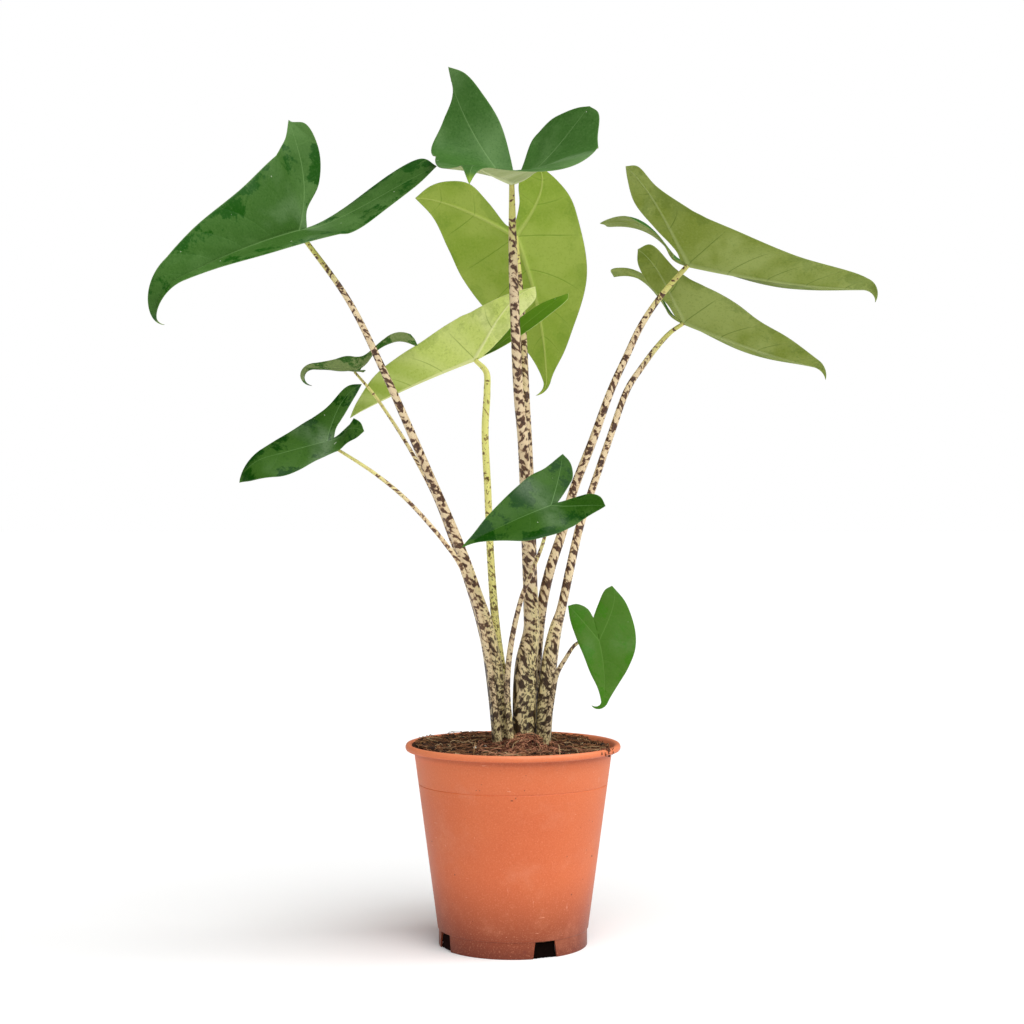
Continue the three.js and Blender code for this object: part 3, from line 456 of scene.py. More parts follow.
def blade_axes(blade):
    """Directions ahead along the midrib, to the left and up."""
    heading, pitch, roll = np.radians(blade.aim)
    ahead = np.array([
        math.cos(pitch) * math.cos(heading), math.cos(pitch) * math.sin(heading), math.sin(pitch)])
    level = np.array([-math.sin(heading), math.cos(heading), 0])
    left = level * math.cos(roll) + np.cross(ahead, level) * math.sin(roll)
    return ahead, left, np.cross(ahead, left)


def midline(blade, half, u, v):
    """Distances ahead, left and up of the midline, with its dip and swing, for each flat point."""
    stations = np.linspace(0, blade.length, BLADE.stations)
    share = stations / blade.length
    hooked = np.clip((share - blade.hook_from) / (1 - blade.hook_from), 0, 1)
    dip = -np.radians(blade.droop * share + blade.hook * hooked)
    first, middle, last = blade.sweep
    swing = mix(first, middle, np.clip(share / blade.hook_from, 0, 1))
    swing = np.radians(mix(swing, last, hooked))
    ways = (np.cos(dip) * np.cos(swing), np.cos(dip) * np.sin(swing), np.sin(dip))
    gone = [np.r_[0, np.cumsum((way[1:] + way[:-1]) / 2 * stations[1])] for way in ways]
    forward = np.clip(u, 0, None)
    place = np.stack([np.interp(forward, stations, way) for way in gone], -1)
    own = smooth(v, 0, BRIDGE)

    def blended(value):
        mean = (value(blade.left) + value(blade.right)) / 2
        return mix(mean, value(half), own)

    reach = blended(Half.reach)
    first_lift = np.radians(blended(lambda side: side.lift[0]))
    last_lift = np.radians(blended(lambda side: side.lift[1]))

    def rise(back):
        eased = 1 - np.exp(-back / (reach * blade.ease))
        return mix(first_lift, last_lift, back / reach) * eased

    behind = np.clip(-u, 0, None)
    parts = (np.arange(BLADE.lift_steps) + 0.5) / BLADE.lift_steps
    lifts = np.array([rise(behind * part) for part in parts])
    back = np.cos(lifts).mean(0) * behind
    place[..., 0] -= back * math.cos(swing[0])
    place[..., 1] -= back * math.sin(swing[0])
    place[..., 2] += np.sin(lifts).mean(0) * behind
    dip = np.interp(forward, stations, dip) - rise(behind)
    return place, dip, np.interp(forward, stations, swing)


def bend(blade, side, flat):
    """Places of flat points on the left (1) or right (-1) side once the blade is bent and aimed."""
    half = blade.left if side > 0 else blade.right
    u = flat[..., 0]
    v = flat[..., 1]
    axes = blade_axes(blade)
    ahead, left, up = axes
    place, dip, swing = midline(blade, half, u, v)
    cosine = np.cos(swing)[..., None]
    sine = np.sin(swing)[..., None]
    along = np.cos(dip)[..., None] * (cosine * ahead + sine * left) + np.sin(dip)[..., None] * up
    across = cosine * left - sine * ahead
    normal = np.cross(along, across)
    lobe_fold, junction_fold, tip_fold = np.radians(half.fold)
    reach = half.reach()
    forward = mix(junction_fold, tip_fold, np.clip(u / blade.length, 0, 1))
    backward = mix(junction_fold, lobe_fold, np.clip(-u / reach, 0, 1))
    fold = np.where(u < 0, backward, forward)
    turn = math.radians(half.curl) / half.width() * v
    straight = np.abs(turn) < 1e-6
    turn = np.where(straight, 1, turn)
    sine_part = np.where(straight, 1, np.sin(turn) / turn)
    cosine_part = np.where(straight, 0, (1 - np.cos(turn)) / turn)
    out = v * (np.cos(fold) * sine_part - np.sin(fold) * cosine_part)
    lengthwise = (u + reach) / (blade.length + reach)
    ripple = blade.wave * np.sin(FULL_TURN * WAVES * lengthwise)
    soft = BLADE.crease * smooth(-u, 0, BRIDGE)
    creased = np.sqrt(v ** 2 + soft ** 2) - soft
    rise = creased * np.sin(fold) * sine_part + v * np.cos(fold) * cosine_part
    rise = rise + ripple * np.clip(v / half.width(), 0, 1.2) ** 2
    middle = np.array(blade.stalk[0][:3]) + place @ np.stack(axes)
    return middle + side * out[..., None] * across + rise[..., None] * normal


# Blade meshes

def vein_phase(along, across, count):
    """Which side vein passes a point, as a number that is whole on each vein."""
    forward = np.abs(along)
    lean = VEINS.lean * forward * (1 - forward) * across ** VEINS.curve
    return np.sign(along) * (forward - lean) * count


def rib_radius(blade, along):
    """Radius of the midrib ahead of the junction and of the lobes' ribs behind it."""
    scale = min(1.0, max(RIB.least, blade.length / RIB.full_size)) * RIB.radius
    ahead = 1 - RIB.ahead[0] * np.clip(along, 0, 1) ** RIB.ahead[1]
    behind = 1 - RIB.behind[0] * np.clip(-along, 0, 1) ** RIB.behind[1]
    return scale * np.where(along >= 0, ahead, behind)


def blade_sheet(blade):
    """The blade's middle surface, with what its relief and its materials need at each point."""
    numbers = {}
    rows = []
    triangles = []
    on_blade = min(VEINS.most, max(VEINS.fewest, round(blade.length / VEINS.spacing)))
    for side, half in ((1, blade.left), (-1, blade.right)):
        for block, (points, along, across) in enumerate(flat_half(blade, half)):
            phase = vein_phase(along[:, None], across[None, :], on_blade if block == 1 else VEINS.on_lobe)
            row_gap = np.linalg.norm(np.gradient(points, axis=0), axis=-1)
            spacing = row_gap / np.maximum(np.abs(np.gradient(phase, axis=0)), 1e-4)
            width = np.linalg.norm(points[:, -1] - points[:, 0], axis=-1)[:, None]
            same = np.ones_like(phase)
            values = np.dstack([
                bend(blade, side, points), along[:, None] * same, phase, np.clip(spacing, 1, 80),
                width * across, rib_radius(blade, along)[:, None] * same, width * (1 - across)])
            ids = np.zeros(phase.shape, int)
            for i, j in np.ndindex(phase.shape):
                u, v = points[i, j]
                key = (0 if v < 1e-6 else side, round(u, 3), round(v, 3))
                if key not in numbers:
                    numbers[key] = len(numbers)
                    rows.append(values[i, j])
                ids[i, j] = numbers[key]
            flip = (side < 0) != (block == 2)
            for i, j in np.ndindex(phase.shape[0] - 1, phase.shape[1] - 1):
                first, second, third, fourth = ids[i, j], ids[i + 1, j], ids[i + 1, j + 1], ids[i, j + 1]
                for a, b, c in ((first, second, third), (first, third, fourth)):
                    if a != b and b != c and c != a:
                        triangles.append((a, c, b) if flip else (a, b, c))
    rows = np.array(rows)
    names = ("along", "phase", "spacing", "rib", "radius", "edge")
    return Sizes(place=rows[:, :3], **dict(zip(names, rows[:, 3:].T))), np.array(triangles)


def sheet_normals(places, triangles):
    first, second, third = (places[triangles[:, corner]] for corner in range(3))
    facing = np.cross(second - first, third - first)
    normals = np.zeros_like(places)
    for corner in range(3):
        np.add.at(normals, triangles[:, corner], facing)
    return unit(normals)


def margin_edges(triangles):
    edges = {}
    for a, b, c in triangles.tolist():
        for start, end in ((a, b), (b, c), (c, a)):
            edges[(start, end)] = True
    return [(start, end) for start, end in edges if (end, start) not in edges]


def blade_piece(name, blade, materials):
    """A blade with an upper and a lower skin, swollen ribs, and a rim that joins the skins."""
    sheet, triangles = blade_sheet(blade)
    normals = sheet_normals(sheet.place, triangles)
    scale = min(1.0, max(BLADE.least, blade.length / BLADE.full_size))
    from_vein = np.abs(sheet.phase - np.round(sheet.phase)) * sheet.spacing
    clear = smooth(sheet.rib, 1, BLADE.clear_rib * scale)
    clear = clear * smooth(sheet.edge, 0, BLADE.clear_margin * scale)
    quilt = BLADE.quilt * scale * np.sin(np.pi * np.abs(sheet.phase)) ** 2 * clear
    middle = sheet.place + normals * quilt[:, None]
    half = mix(BLADE.margin, BLADE.thickness, smooth(sheet.edge, 0, BLADE.thick_from)) / 2
    spread = np.clip(sheet.rib / (RIB.width * sheet.radius), 0, 1)
    rib = sheet.radius * (1 - spread ** 2) ** 2 * smooth(sheet.edge, 0, RIB.from_margin)
    vein = BLADE.vein * scale * np.exp(-((from_vein / (BLADE.vein_width * scale)) ** 2)) * clear
    upper = middle + normals * (half - RIB.above * rib - vein * BLADE.vein_above)[:, None]
    lower = middle - normals * (half + rib + vein)[:, None]
    edges = margin_edges(triangles)
    outward = np.zeros_like(middle)
    for start, end in edges:
        push = np.cross(middle[end] - middle[start], normals[start])
        outward[start] += push
        outward[end] += push
    on_margin = sorted({number for edge in edges for number in edge})
    rim = middle[on_margin] + unit(outward[on_margin]) * BLADE.margin * 0.5
    count = len(middle)
    ring = {number: 2 * count + order for order, number in enumerate(on_margin)}
    faces = [*triangles.tolist(), *(triangles[:, ::-1] + count).tolist()]
    for start, end in edges:
        faces.append((end, start, ring[start], ring[end]))
        faces.append((ring[end], ring[start], count + start, count + end))
    kinds = [0] * len(triangles) + [1] * len(triangles) + [2, 2] * len(edges)
    attributes = dict(
        vein_phase=sheet.phase, vein_spacing=sheet.spacing,
        rib_share=sheet.rib / np.maximum(sheet.radius, 0.1),
        edge_distance=sheet.edge, blade_share=sheet.along)
    for key, values in attributes.items():
        attributes[key] = np.concatenate([values, values, values[on_margin]])
    return make_mesh(name, np.vstack([upper, lower, rim]), faces, materials, kinds, attributes)


# Stalks

def stalk_route(leaf):
    """The stalk's middle line from its foot to just under the blade, with its radius last."""
    head = np.array(leaf.stalk[0], float)
    head[:3] -= blade_axes(leaf)[2] * STALK.head_room
    foot = np.array(leaf.stalk[-1], float)
    foot[2] = STALK.foot
    return np.array([foot, *map(np.array, leaf.stalk[:0:-1]), head])


def rings_round(places, radius, angles):
    """Rings of points round a route, by two directions carried along it without twisting."""
    ways = unit(np.gradient(places, axis=0))
    side = np.array([1.0, 0, 0])
    sides = []
    for way in ways:
        side = side - way * side.dot(way)
        side = side / np.linalg.norm(side)
        sides.append(side)
    first = np.array(sides)
    second = np.cross(ways, first)
    return places[:, None] + radius[..., None] * (
        np.cos(angles)[..., None] * first[:, None] + np.sin(angles)[..., None] * second[:, None])


def stalk_piece(name, leaf, material):
    """A stalk whose lower part is a sheath with an open edge, and what its markings need."""
    curve = spline(stalk_route(leaf))
    length = curve[2]
    rings = round(length / STALK.ring_step)
    shares = np.linspace(0, 1, rings + 1)
    places, radius = np.split(at_share(curve, shares), [3], axis=1)
    height = places[:, 2:]
    finer = np.interp(radius, STALK.fine_radii, STALK.fine_scales)
    drawn = (finer[1:, 0] + finer[:-1, 0]) / 2 * np.diff(shares) * length
    drawn = np.r_[0, np.cumsum(drawn)]
    top, top_angle, foot_angle = leaf.sheath
    lowered = np.clip((top - height) / (top - SOIL.front), 0, 1)
    proud = STALK.sheath_rise * smooth(top - height, 0, STALK.sheath_fade)
    around = np.r_[0, np.linspace(STALK.sheath_edge, 1, STALK.sides)]
    angles = np.radians(mix(top_angle, foot_angle, lowered)) + FULL_TURN * around
    swell = proud * (1 - around) ** STALK.sheath_thins
    swell[:, [0, -1]] = 0
    reach = radius * (1 - proud * STALK.sheath_tuck + swell)
    reach = reach * (1 + STALK.ridge * np.sin(STALK.ridges * angles) * smooth(radius, 2, 5))
    tip = places[-1] + (places[-1] - places[-2]) * 0.3
    points = np.vstack([rings_round(places, reach, angles).reshape(-1, 3), places[0], tip])
    columns = len(around)
    faces = tube_faces(rings + 1, columns, closed=False)
    last_ring = rings * columns
    for column in range(columns):
        beside = (column + 1) % columns
        faces.append((beside, column, len(points) - 2))
        faces.append((last_ring + column, last_ring + beside, len(points) - 1))
    wide = radius * finer
    wrap = np.dstack([
        wide * np.cos(angles), wide * np.sin(angles), np.broadcast_to(drawn[:, None], reach.shape)])
    from_edge = np.minimum(around, 1 - around) * FULL_TURN * radius
    from_edge = from_edge + STALK.far * smooth(height, top - STALK.sheath_fade, top)
    attributes = dict(
        wrap=np.vstack([wrap.reshape(-1, 3), [[0, 0, 0]], [[0, 0, drawn[-1]]]]),
        head_share=1 - np.r_[np.repeat(shares, columns), 0, 1],
        from_edge=np.r_[from_edge.ravel(), STALK.far, STALK.far],
        height=points[:, 2])
    return make_mesh(name, points, faces, [material], attributes=attributes)


# Pot

def body_radius(height):
    share = (height - POT.foot_height) / (POT.height - POT.lip_height - POT.foot_height)
    return mix(POT.body_foot_radius, POT.body_top_radius, share)


def inside_radius(height):
    """Radius of the pot's inside at a height, with its flare at the lip."""
    share = np.clip((height - POT.lip_foot) / (POT.height - POT.lip_round - POT.lip_foot), 0, 1)
    below = body_radius(np.minimum(height, POT.lip_foot)) - POT.wall
    return mix(below, POT.mouth_radius - POT.mouth_bevel, share)


def rounded(corners, radius, steps=5):
    """The corners of an open outline with each one between its ends rounded off."""
    corners = np.asarray(corners, float)
    outline = [corners[0]]
    for before, here, after in zip(corners, corners[1:], corners[2:]):
        to_before = before - here
        to_after = after - here
        room = min(radius, np.linalg.norm(to_before) / 2.2, np.linalg.norm(to_after) / 2.2)
        start = here + unit(to_before) * room
        end = here + unit(to_after) * room
        for step in np.linspace(0, 1, steps):
            outline.append((1 - step) ** 2 * start + 2 * step * (1 - step) * here + step ** 2 * end)
    outline.append(corners[-1])
    return np.array(outline)


def pot_profile():
    """Radius and height along the pot's wall, from the floor's underside over the lip and back."""
    top = POT.height
    under_lip = top - POT.lip_height
    floor_under = POT.floor_top - POT.wall
    groove = POT.groove_height
    half = POT.groove_half
    return rounded([
        (POT.axis_gap, floor_under),
        (POT.foot_radius - POT.wall, floor_under),
        (POT.foot_radius - POT.wall, 0),
        (POT.foot_radius, 0),
        (POT.foot_radius, POT.foot_height - POT.foot_step),
        (POT.body_foot_radius, POT.foot_height),
        (body_radius(groove - half), groove - half),
        (body_radius(groove) - POT.groove_depth, groove),
        (body_radius(groove + half), groove + half),
        (POT.body_top_radius, under_lip),
        (POT.rim_radius - POT.lip_under[0], under_lip + POT.lip_under[1]),
        (POT.rim_radius, top - POT.lip_height / 2),
        (POT.rim_radius - POT.lip_over[0], top - POT.lip_over[1]),
        (POT.mouth_radius, top),
        (POT.mouth_radius - POT.mouth_bevel, top - POT.lip_round),
        (POT.body_top_radius - POT.wall, POT.lip_foot),
        (body_radius(POT.floor_top) - POT.wall, POT.floor_top),
        (POT.axis_gap, POT.floor_top),
    ], POT.corner)


def to_notch(points, index):
    """Points in front of the pot, turned round its axis to a drain notch."""
    turn = math.radians(NOTCH.first_angle + index * 360 / NOTCH.count)
    x, y, z = np.asarray(points, float).T
    return np.stack([
        x * math.cos(turn) - y * math.sin(turn), x * math.sin(turn) + y * math.cos(turn), z], -1)


def notch_cutter(index):
    half = NOTCH.width / 2
    narrow = half * NOTCH.top_share
    outline = (
        (-half, NOTCH.bottom), (half, NOTCH.bottom), (narrow, NOTCH.top), (-narrow, NOTCH.top))
    front = POT.foot_radius + NOTCH.out
    back = POT.foot_radius - NOTCH.depth
    points = [(x, -y, z) for y in (front, back) for x, z in outline]
    faces = [(0, 1, 2, 3), (7, 6, 5, 4), (0, 4, 5, 1), (1, 5, 6, 2), (2, 6, 7, 3), (3, 7, 4, 0)]
    return make_mesh(f"notch_cutter_{index}", to_notch(points, index), faces)


def pot_piece(material):
    """The pot turned from its profile, with the drain notches cut out."""
    radius, height = pot_profile().T[..., None]
    turn = np.linspace(0, FULL_TURN, POT.segments, endpoint=False)
    points = np.dstack([radius * np.cos(turn), radius * np.sin(turn), height + 0 * turn]).reshape(-1, 3)
    pot = make_mesh("nursery_pot", points, tube_faces(len(radius), POT.segments), [material])
    cutters = [notch_cutter(index) for index in range(NOTCH.count)]
    for cutter in cutters:
        cut = pot.modifiers.new("notch", "BOOLEAN")
        cut.operation = "DIFFERENCE"
        cut.solver = "EXACT"
        cut.object = cutter
    finished = bpy.data.meshes.new_from_object(pot.evaluated_get(bpy.context.evaluated_depsgraph_get()))
    pot.modifiers.clear()
    pot.data = finished
    pot.data.set_sharp_from_angle(angle=math.radians(POT.sharp))
    for cutter in cutters:
        bpy.data.objects.remove(cutter)
    return pot


# Soil

def wall_height(turn):
    """Height of the soil's top at the pot's wall, on each side."""
    along_x = np.where(np.cos(turn) > 0, SOIL.right, SOIL.left)
    along_y = np.where(np.sin(turn) > 0, SOIL.back, SOIL.front)
    return along_x * np.cos(turn) ** 2 + along_y * np.sin(turn) ** 2


def soil_height(x, y):
    level = (SOIL.front + SOIL.back + SOIL.left + SOIL.right) / 4
    outward = smooth(np.hypot(x, y) / body_radius(level), 0, 1)
    from_heart = np.hypot(x - SOIL.heart[0], y - SOIL.heart[1])
    mound = SOIL.mound * (1 - smooth(from_heart, 0, SOIL.mound_radius))
    return mix(level, wall_height(np.arctan2(y, x)), outward) + mound


def roughness_at(x, y):
    """Height of the soil's lumps and crumbs at a place."""
    return sum(high * noise.noise(Vector((x / size, y / size, seed))) for high, size, seed in SOIL.lumps)


def soil_piece(material):
    """The soil as one closed body, lumpy on top, that fills the pot inside."""
    turn = np.linspace(0, FULL_TURN, SOIL.segments, endpoint=False)
    wall = inside_radius(wall_height(turn)) - SOIL.gap
    radii = np.linspace(SOIL.centre, 1, SOIL.rings)[:, None] * wall
    x = radii * np.cos(turn)
    y = radii * np.sin(turn)
    rough = np.vectorize(roughness_at)(x, y) - SOIL.sunk
    z = soil_height(x, y) + rough * smooth(wall - radii, *SOIL.near_wall)
    rows = [np.dstack([x, y, z]).reshape(-1, 3)]
    for height in (POT.lip_foot, POT.floor_top + SOIL.gap):
        side = inside_radius(height) - SOIL.gap
        rows.append(np.stack([side * np.cos(turn), side * np.sin(turn), height + 0 * turn], -1))
    faces = [face[::-1] for face in tube_faces(SOIL.rings + 2, SOIL.segments)]
    return make_mesh("coco_soil", np.vstack(rows), faces, [material])


# Material nodes

def colour(tone):
    """A colour as it shows on screen, from 0 to 255 a channel, as the linear value nodes take."""
    shares = [part / 255 for part in tone]
    return (*(part / 12.92 if part <= 0.04045 else ((part + 0.055) / 1.055) ** 2.4 for part in shares), 1)


def plug(tree, socket, value):
    """Links a value to a socket, or sets the socket to it if it is a constant."""
    if isinstance(value, Value):
        tree.links.new(value.socket, socket)
    else:
        socket.default_value = value


class Value:
    """What a node gives, with short ways to add the nodes that come after it."""

    def __init__(self, tree, kind, inputs, output=0, **settings):
        node = tree.nodes.new(kind)
        for key, value in settings.items():
            setattr(node, key, value)
        for key, value in inputs.items():
            plug(tree, node.inputs[key], value)
        self.tree = tree
        self.socket = node.outputs[output]

    def maths(self, operation, other=0):
        return Value(self.tree, "ShaderNodeMath", {0: self, 1: other}, operation=operation)

    def __add__(self, other):
        return self.maths("ADD", other)

    def __sub__(self, other):
        return self.maths("SUBTRACT", other)

    def __mul__(self, other):
        return self.maths("MULTIPLY", other)

    def ramp(self, low, high, start=0, end=1):
        """Runs smoothly from start to end as the value goes from low to high."""
        inputs = {"Value": self, "From Min": low, "From Max": high, "To Min": start, "To Max": end}
        return Value(self.tree, "ShaderNodeMapRange", inputs, "Result", interpolation_type="SMOOTHSTEP")

    def clouds(self, scale, detail=3, roughness=0.55, distortion=0):
        """Noise over a place. A scale of three numbers is one for each direction."""
        place = self
        if isinstance(scale, tuple):
            place = Value(self.tree, "ShaderNodeVectorMath", {0: self, 1: scale}, operation="MULTIPLY")
            scale = 1
        inputs = dict(Vector=place, Scale=scale, Detail=detail, Roughness=roughness, Distortion=distortion)
        return Value(self.tree, "ShaderNodeTexNoise", inputs, "Fac")

    def parts(self):
        return [Value(self.tree, "ShaderNodeSeparateXYZ", {"Vector": self}, axis) for axis in "XYZ"]


class Paint:
    """A material laid on in coats over a ground tone."""

    def __init__(self, name, ground, **settings):
        self.material = bpy.data.materials.new(name)
        self.material.use_nodes = True
        self.tree = self.material.node_tree
        self.shader = self.tree.nodes["Principled BSDF"]
        for socket, value in settings.items():
            self.shader.inputs[socket.replace("_", " ").title().replace("Ior", "IOR")].default_value = value
        self.place = Value(self.tree, "ShaderNodeTexCoord", {}, "Object")
        self.base = ground

    def number(self, name, output="Fac"):
        """What is stored on the mesh's points under a name."""
        return Value(self.tree, "ShaderNodeAttribute", {}, output, attribute_name=name)

    def mixed(self, share, first, second):
        first, second = (tone if isinstance(tone, Value) else colour(tone) for tone in (first, second))
        return Value(self.tree, "ShaderNodeMix", {0: share, 6: first, 7: second}, 2, data_type="RGBA")

    def coat(self, tone, share):
        self.base = self.mixed(share, self.base, tone)

    def finish(self, roughness, relief=None, depth=0):
        """The finished material. depth: how deep its relief is, in metres."""
        plug(self.tree, self.shader.inputs["Base Color"], self.base)
        plug(self.tree, self.shader.inputs["Roughness"], roughness)
        if relief is not None:
            inputs = {"Height": relief, "Distance": depth, "Strength": 1}
            plug(self.tree, self.shader.inputs["Normal"], Value(self.tree, "ShaderNodeBump", inputs))
        return self.material


# Blade materials

@dataclass
class Look:
    """A blade's colours above and below: its tone, its bloom, its dark patches and its veins. Above, the
    paler greyish tone round the dark saturated patches is painted reflection of the sky on the gloss, and
    the patches are where it is missing.

    patchy: how strongly the patches show above. sheen: how strongly a pale painted highlight shows round
    the junction.
    deepen: how much it darkens below towards the tip. ribs: how strongly the ribs show below.
    """
    upper: tuple
    under: tuple
    rim: tuple
    tip: tuple
    gloss: float
    patchy: float
    sheen: float = 0
    deepen: float = 0
    ribs: float = 0.85


LOOKS = dict(
    mature=Look(
        upper=((60, 99, 36), (84, 121, 60), (16, 74, 0), (120, 156, 94)),
        under=((150, 162, 106), (176, 184, 136), (104, 126, 66), (196, 204, 154)),
        rim=(104, 138, 60), tip=(150, 184, 60), gloss=0.42, patchy=0.88, sheen=0.12),
    shiny=Look(
        upper=((42, 84, 12), (64, 102, 36), (14, 64, 0), (122, 160, 100)),
        under=((120, 146, 76), (144, 166, 100), (84, 116, 46), (160, 180, 116)),
        rim=(84, 122, 46), tip=(70, 120, 24), gloss=0.36, patchy=1, sheen=0.24),
    glossy=Look(
        upper=((70, 110, 32), (84, 122, 46), (52, 112, 0), (104, 142, 66)),
        under=((104, 138, 60), (126, 156, 84), (84, 116, 46), (150, 176, 106)),
        rim=(90, 128, 48), tip=(90, 130, 50), gloss=0.42, patchy=0.6, sheen=0.08),
    olive=Look(
        upper=((58, 100, 32), (84, 122, 54), (36, 88, 10), (116, 148, 82)),
        under=((122, 138, 54), (150, 164, 90), (78, 104, 30), (174, 186, 126)),
        rim=(140, 160, 80), tip=(140, 160, 80), gloss=0.46, patchy=0.5, sheen=0.1, ribs=0.35),
    folded=Look(
        upper=((128, 146, 88), (152, 168, 112), (40, 92, 14), (170, 182, 130)),
        under=((84, 104, 50), (104, 124, 70), (50, 84, 20), (130, 146, 96)),
        rim=(70, 94, 40), tip=(60, 90, 30), gloss=0.46, patchy=0.9),
    pale=Look(
        upper=((96, 140, 56), (116, 158, 68), (88, 136, 40), (150, 182, 96)),
        under=((142, 168, 60), (166, 186, 84), (112, 146, 44), (184, 198, 104)),
        rim=(104, 126, 54), tip=(170, 190, 80), gloss=0.46, patchy=0.2, deepen=0.2, ribs=0.65),
    young=Look(
        upper=((88, 132, 24), (116, 154, 44), (80, 128, 20), (168, 194, 104)),
        under=((212, 228, 122), (236, 244, 166), (134, 162, 50), (240, 244, 176)),
        rim=(176, 196, 104), tip=(150, 172, 84), gloss=0.4, patchy=0.2, deepen=0.75, ribs=0.7),
)
LOOKS["calm"] = replace(
    LOOKS["mature"], patchy=0.1, upper=((66, 107, 44), (98, 134, 76), (16, 74, 0), (130, 164, 104)))


def blade_face(name, look, is_upper):
    main, bloom, dark, vein = look.upper if is_upper else look.under
    paint = Paint(name, main, specular_ior_level=0.13, ior=1.42)
    phase = paint.number("vein_phase")
    off_vein = (phase - phase.maths("ROUND")).maths("ABSOLUTE")
    from_vein = off_vein * paint.number("vein_spacing")
    rib = paint.number("rib_share")
    edge = paint.number("edge_distance")
    along = paint.number("blade_share")
    cloud = paint.place.clouds(17, distortion=0.3)
    paint.coat(bloom, cloud.ramp(0.42, 0.62, 0, 0.85))
    # Painted reflection: dark saturated patches where the painted pale reflection of the sky is missing,
    # also made glossier below
    painted_reflection_gaps = paint.place.clouds(44, 6, 0.72, 0.25) + edge.ramp(1, 24, 0.055, -0.07)
    painted_reflection_gaps = painted_reflection_gaps.ramp(0.535, 0.6, 0, look.patchy if is_upper else 0.3)
    paint.coat(dark, painted_reflection_gaps)
    grain = paint.place.clouds(560, 4, 0.7)
    paint.coat(bloom, grain.ramp(0.5, 0.75, 0, 0.4))
    paint.coat(dark, grain.ramp(0.5, 0.26, 0, 0.45))
    fades = edge.ramp(3, 18)
    if is_upper:
        paint.coat(vein, from_vein.ramp(0.1, 0.6, 0.05, 0) * fades)
        paint.coat(vein, rib.ramp(0.14, 0.6, 0.55, 0))
        paint.coat(bloom, rib.ramp(0.4, 2.4, 0.2, 0))
        # Painted highlight: a pale sheen painted round the junction, broken by the grain
        sheen = along.maths("ABSOLUTE").ramp(0, 0.24, look.sheen, 0) * cloud.ramp(0.4, 0.56)
        paint.coat((168, 186, 160), sheen * grain.ramp(0.2, 0.6, 0.4, 1))
    else:
        paint.coat(dark, along.ramp(0, 0.75, 0, look.deepen))
        paint.coat(bloom, off_vein.ramp(0, 0.42, 0.25, 0))
        paint.coat(dark, from_vein.ramp(0.15, 0.7, 0.6, 0) * fades)
        paint.coat(vein, rib.ramp(0.5, 1.5, look.ribs, 0))
    paint.coat(vein, edge.ramp(0.1, 0.6, 0.25, 0))
    paint.coat(look.tip, along.ramp(0.92, 1, 0, 0.9))
    if is_upper:
        paint.coat((206, 214, 190), paint.place.clouds(240, 1).ramp(0.79, 0.805, 0, 0.7))
    gloss = look.gloss if is_upper else look.gloss + 0.12
    roughness = paint.place.clouds(90, 2).ramp(0.35, 0.7, gloss + 0.02, gloss + 0.16) - painted_reflection_gaps * 0.12
    relief = grain * 0.6 + from_vein.ramp(0, 1.2, 0, 0.35 if is_upper else 1)
    return paint.finish(roughness, relief, 0.00014)


def blade_rim(name, tone):
    paint = Paint(name, tone)
    streaks = paint.place.clouds(160, 2)
    paint.coat([part * 0.75 for part in tone], streaks.ramp(0.3, 0.7, 0, 0.6))
    return paint.finish(0.45, streaks, 0.0001)


# Stalk material

def stalk_material(name, grounds, marks, bare, sparse, fleck_top=300):
    """Cream ground with broken slanting bands, turning to mottled green sheath at the foot.

    grounds: near the blade, along the stalk, at the foot. marks: a band's dark, its brown edge and
    the dark of the foot. bare: share of the stalk's length below the blade with few bands.
    sparse: how much of the bands is left out. fleck_top: height up to which fine flecks reach.
    """
    head, shaft, foot = grounds
    dark, brown, foot_dark = marks
    paint = Paint(name, head, specular_ior_level=0.4, ior=1.42, coat_weight=0.08, coat_roughness=0.3)
    from_head = paint.number("head_share")
    height = paint.number("height")
    low = height.ramp(180, 290, 1, 0)
    near_edge = paint.number("from_edge").ramp(2, 9, 1, 0)
    wrap = paint.number("wrap", "Vector")
    x, y, z = wrap.parts()
    slant = wrap.clouds((0.03, 0.03, 0.024), 1).ramp(0.38, 0.62, -0.6, 1)
    space = Value(paint.tree, "ShaderNodeCombineXYZ", dict(X=x, Y=y, Z=z + x * slant))
    ragged = space.clouds((0.75, 0.75, 0.5), 3, 0.6)
    bands = space.clouds((0.2, 0.2, 0.25), 1.2, 0.4)
    spots = space.clouds((0.19, 0.19, 0.24), 1.2, 0.4)
    level = mix(bands, spots, low) + (ragged - 0.5) * 0.26
    level = level - from_head.ramp(bare * 0.4, bare * 1.4, 0.12, sparse)
    level = level - near_edge * 0.05 + low * 0.014
    flecks = space.clouds((0.62, 0.62, 0.42), 1.2, 0.4)
    flecks = flecks + height.ramp(200, fleck_top, -0.012, -0.16) + near_edge * 0.07
    flush = space.clouds((0.16, 0.16, 0.06), 2)
    paint.coat(shaft, from_head.ramp(bare * 0.5, bare * 2.2))
    paint.coat(foot, low)
    paint.coat(brown, flush.ramp(0.42, 0.72, 0, 0.22))
    paint.coat(head, near_edge * 0.25)
    paint.coat(paint.mixed(low * 0.6, brown, foot_dark), level.ramp(0.46, 0.53, 0, 0.6))
    inner = paint.mixed(ragged.ramp(0.35, 0.65, 0, 0.35), dark, brown)
    paint.coat(paint.mixed(low, inner, foot_dark), level.ramp(0.505, 0.57))
    paint.coat(foot_dark, flecks.ramp(0.535, 0.6, 0, 0.85))
    paint.coat(brown, space.clouds((2.2, 2.2, 0.9), 2).ramp(0.45, 0.8, 0, 0.3))
    return paint.finish(flush.ramp(0.3, 0.7, 0.4, 0.55), space.clouds((1.6, 1.6, 0.12), 2), 0.00018)


# Pot, soil, fibre, root and floor materials

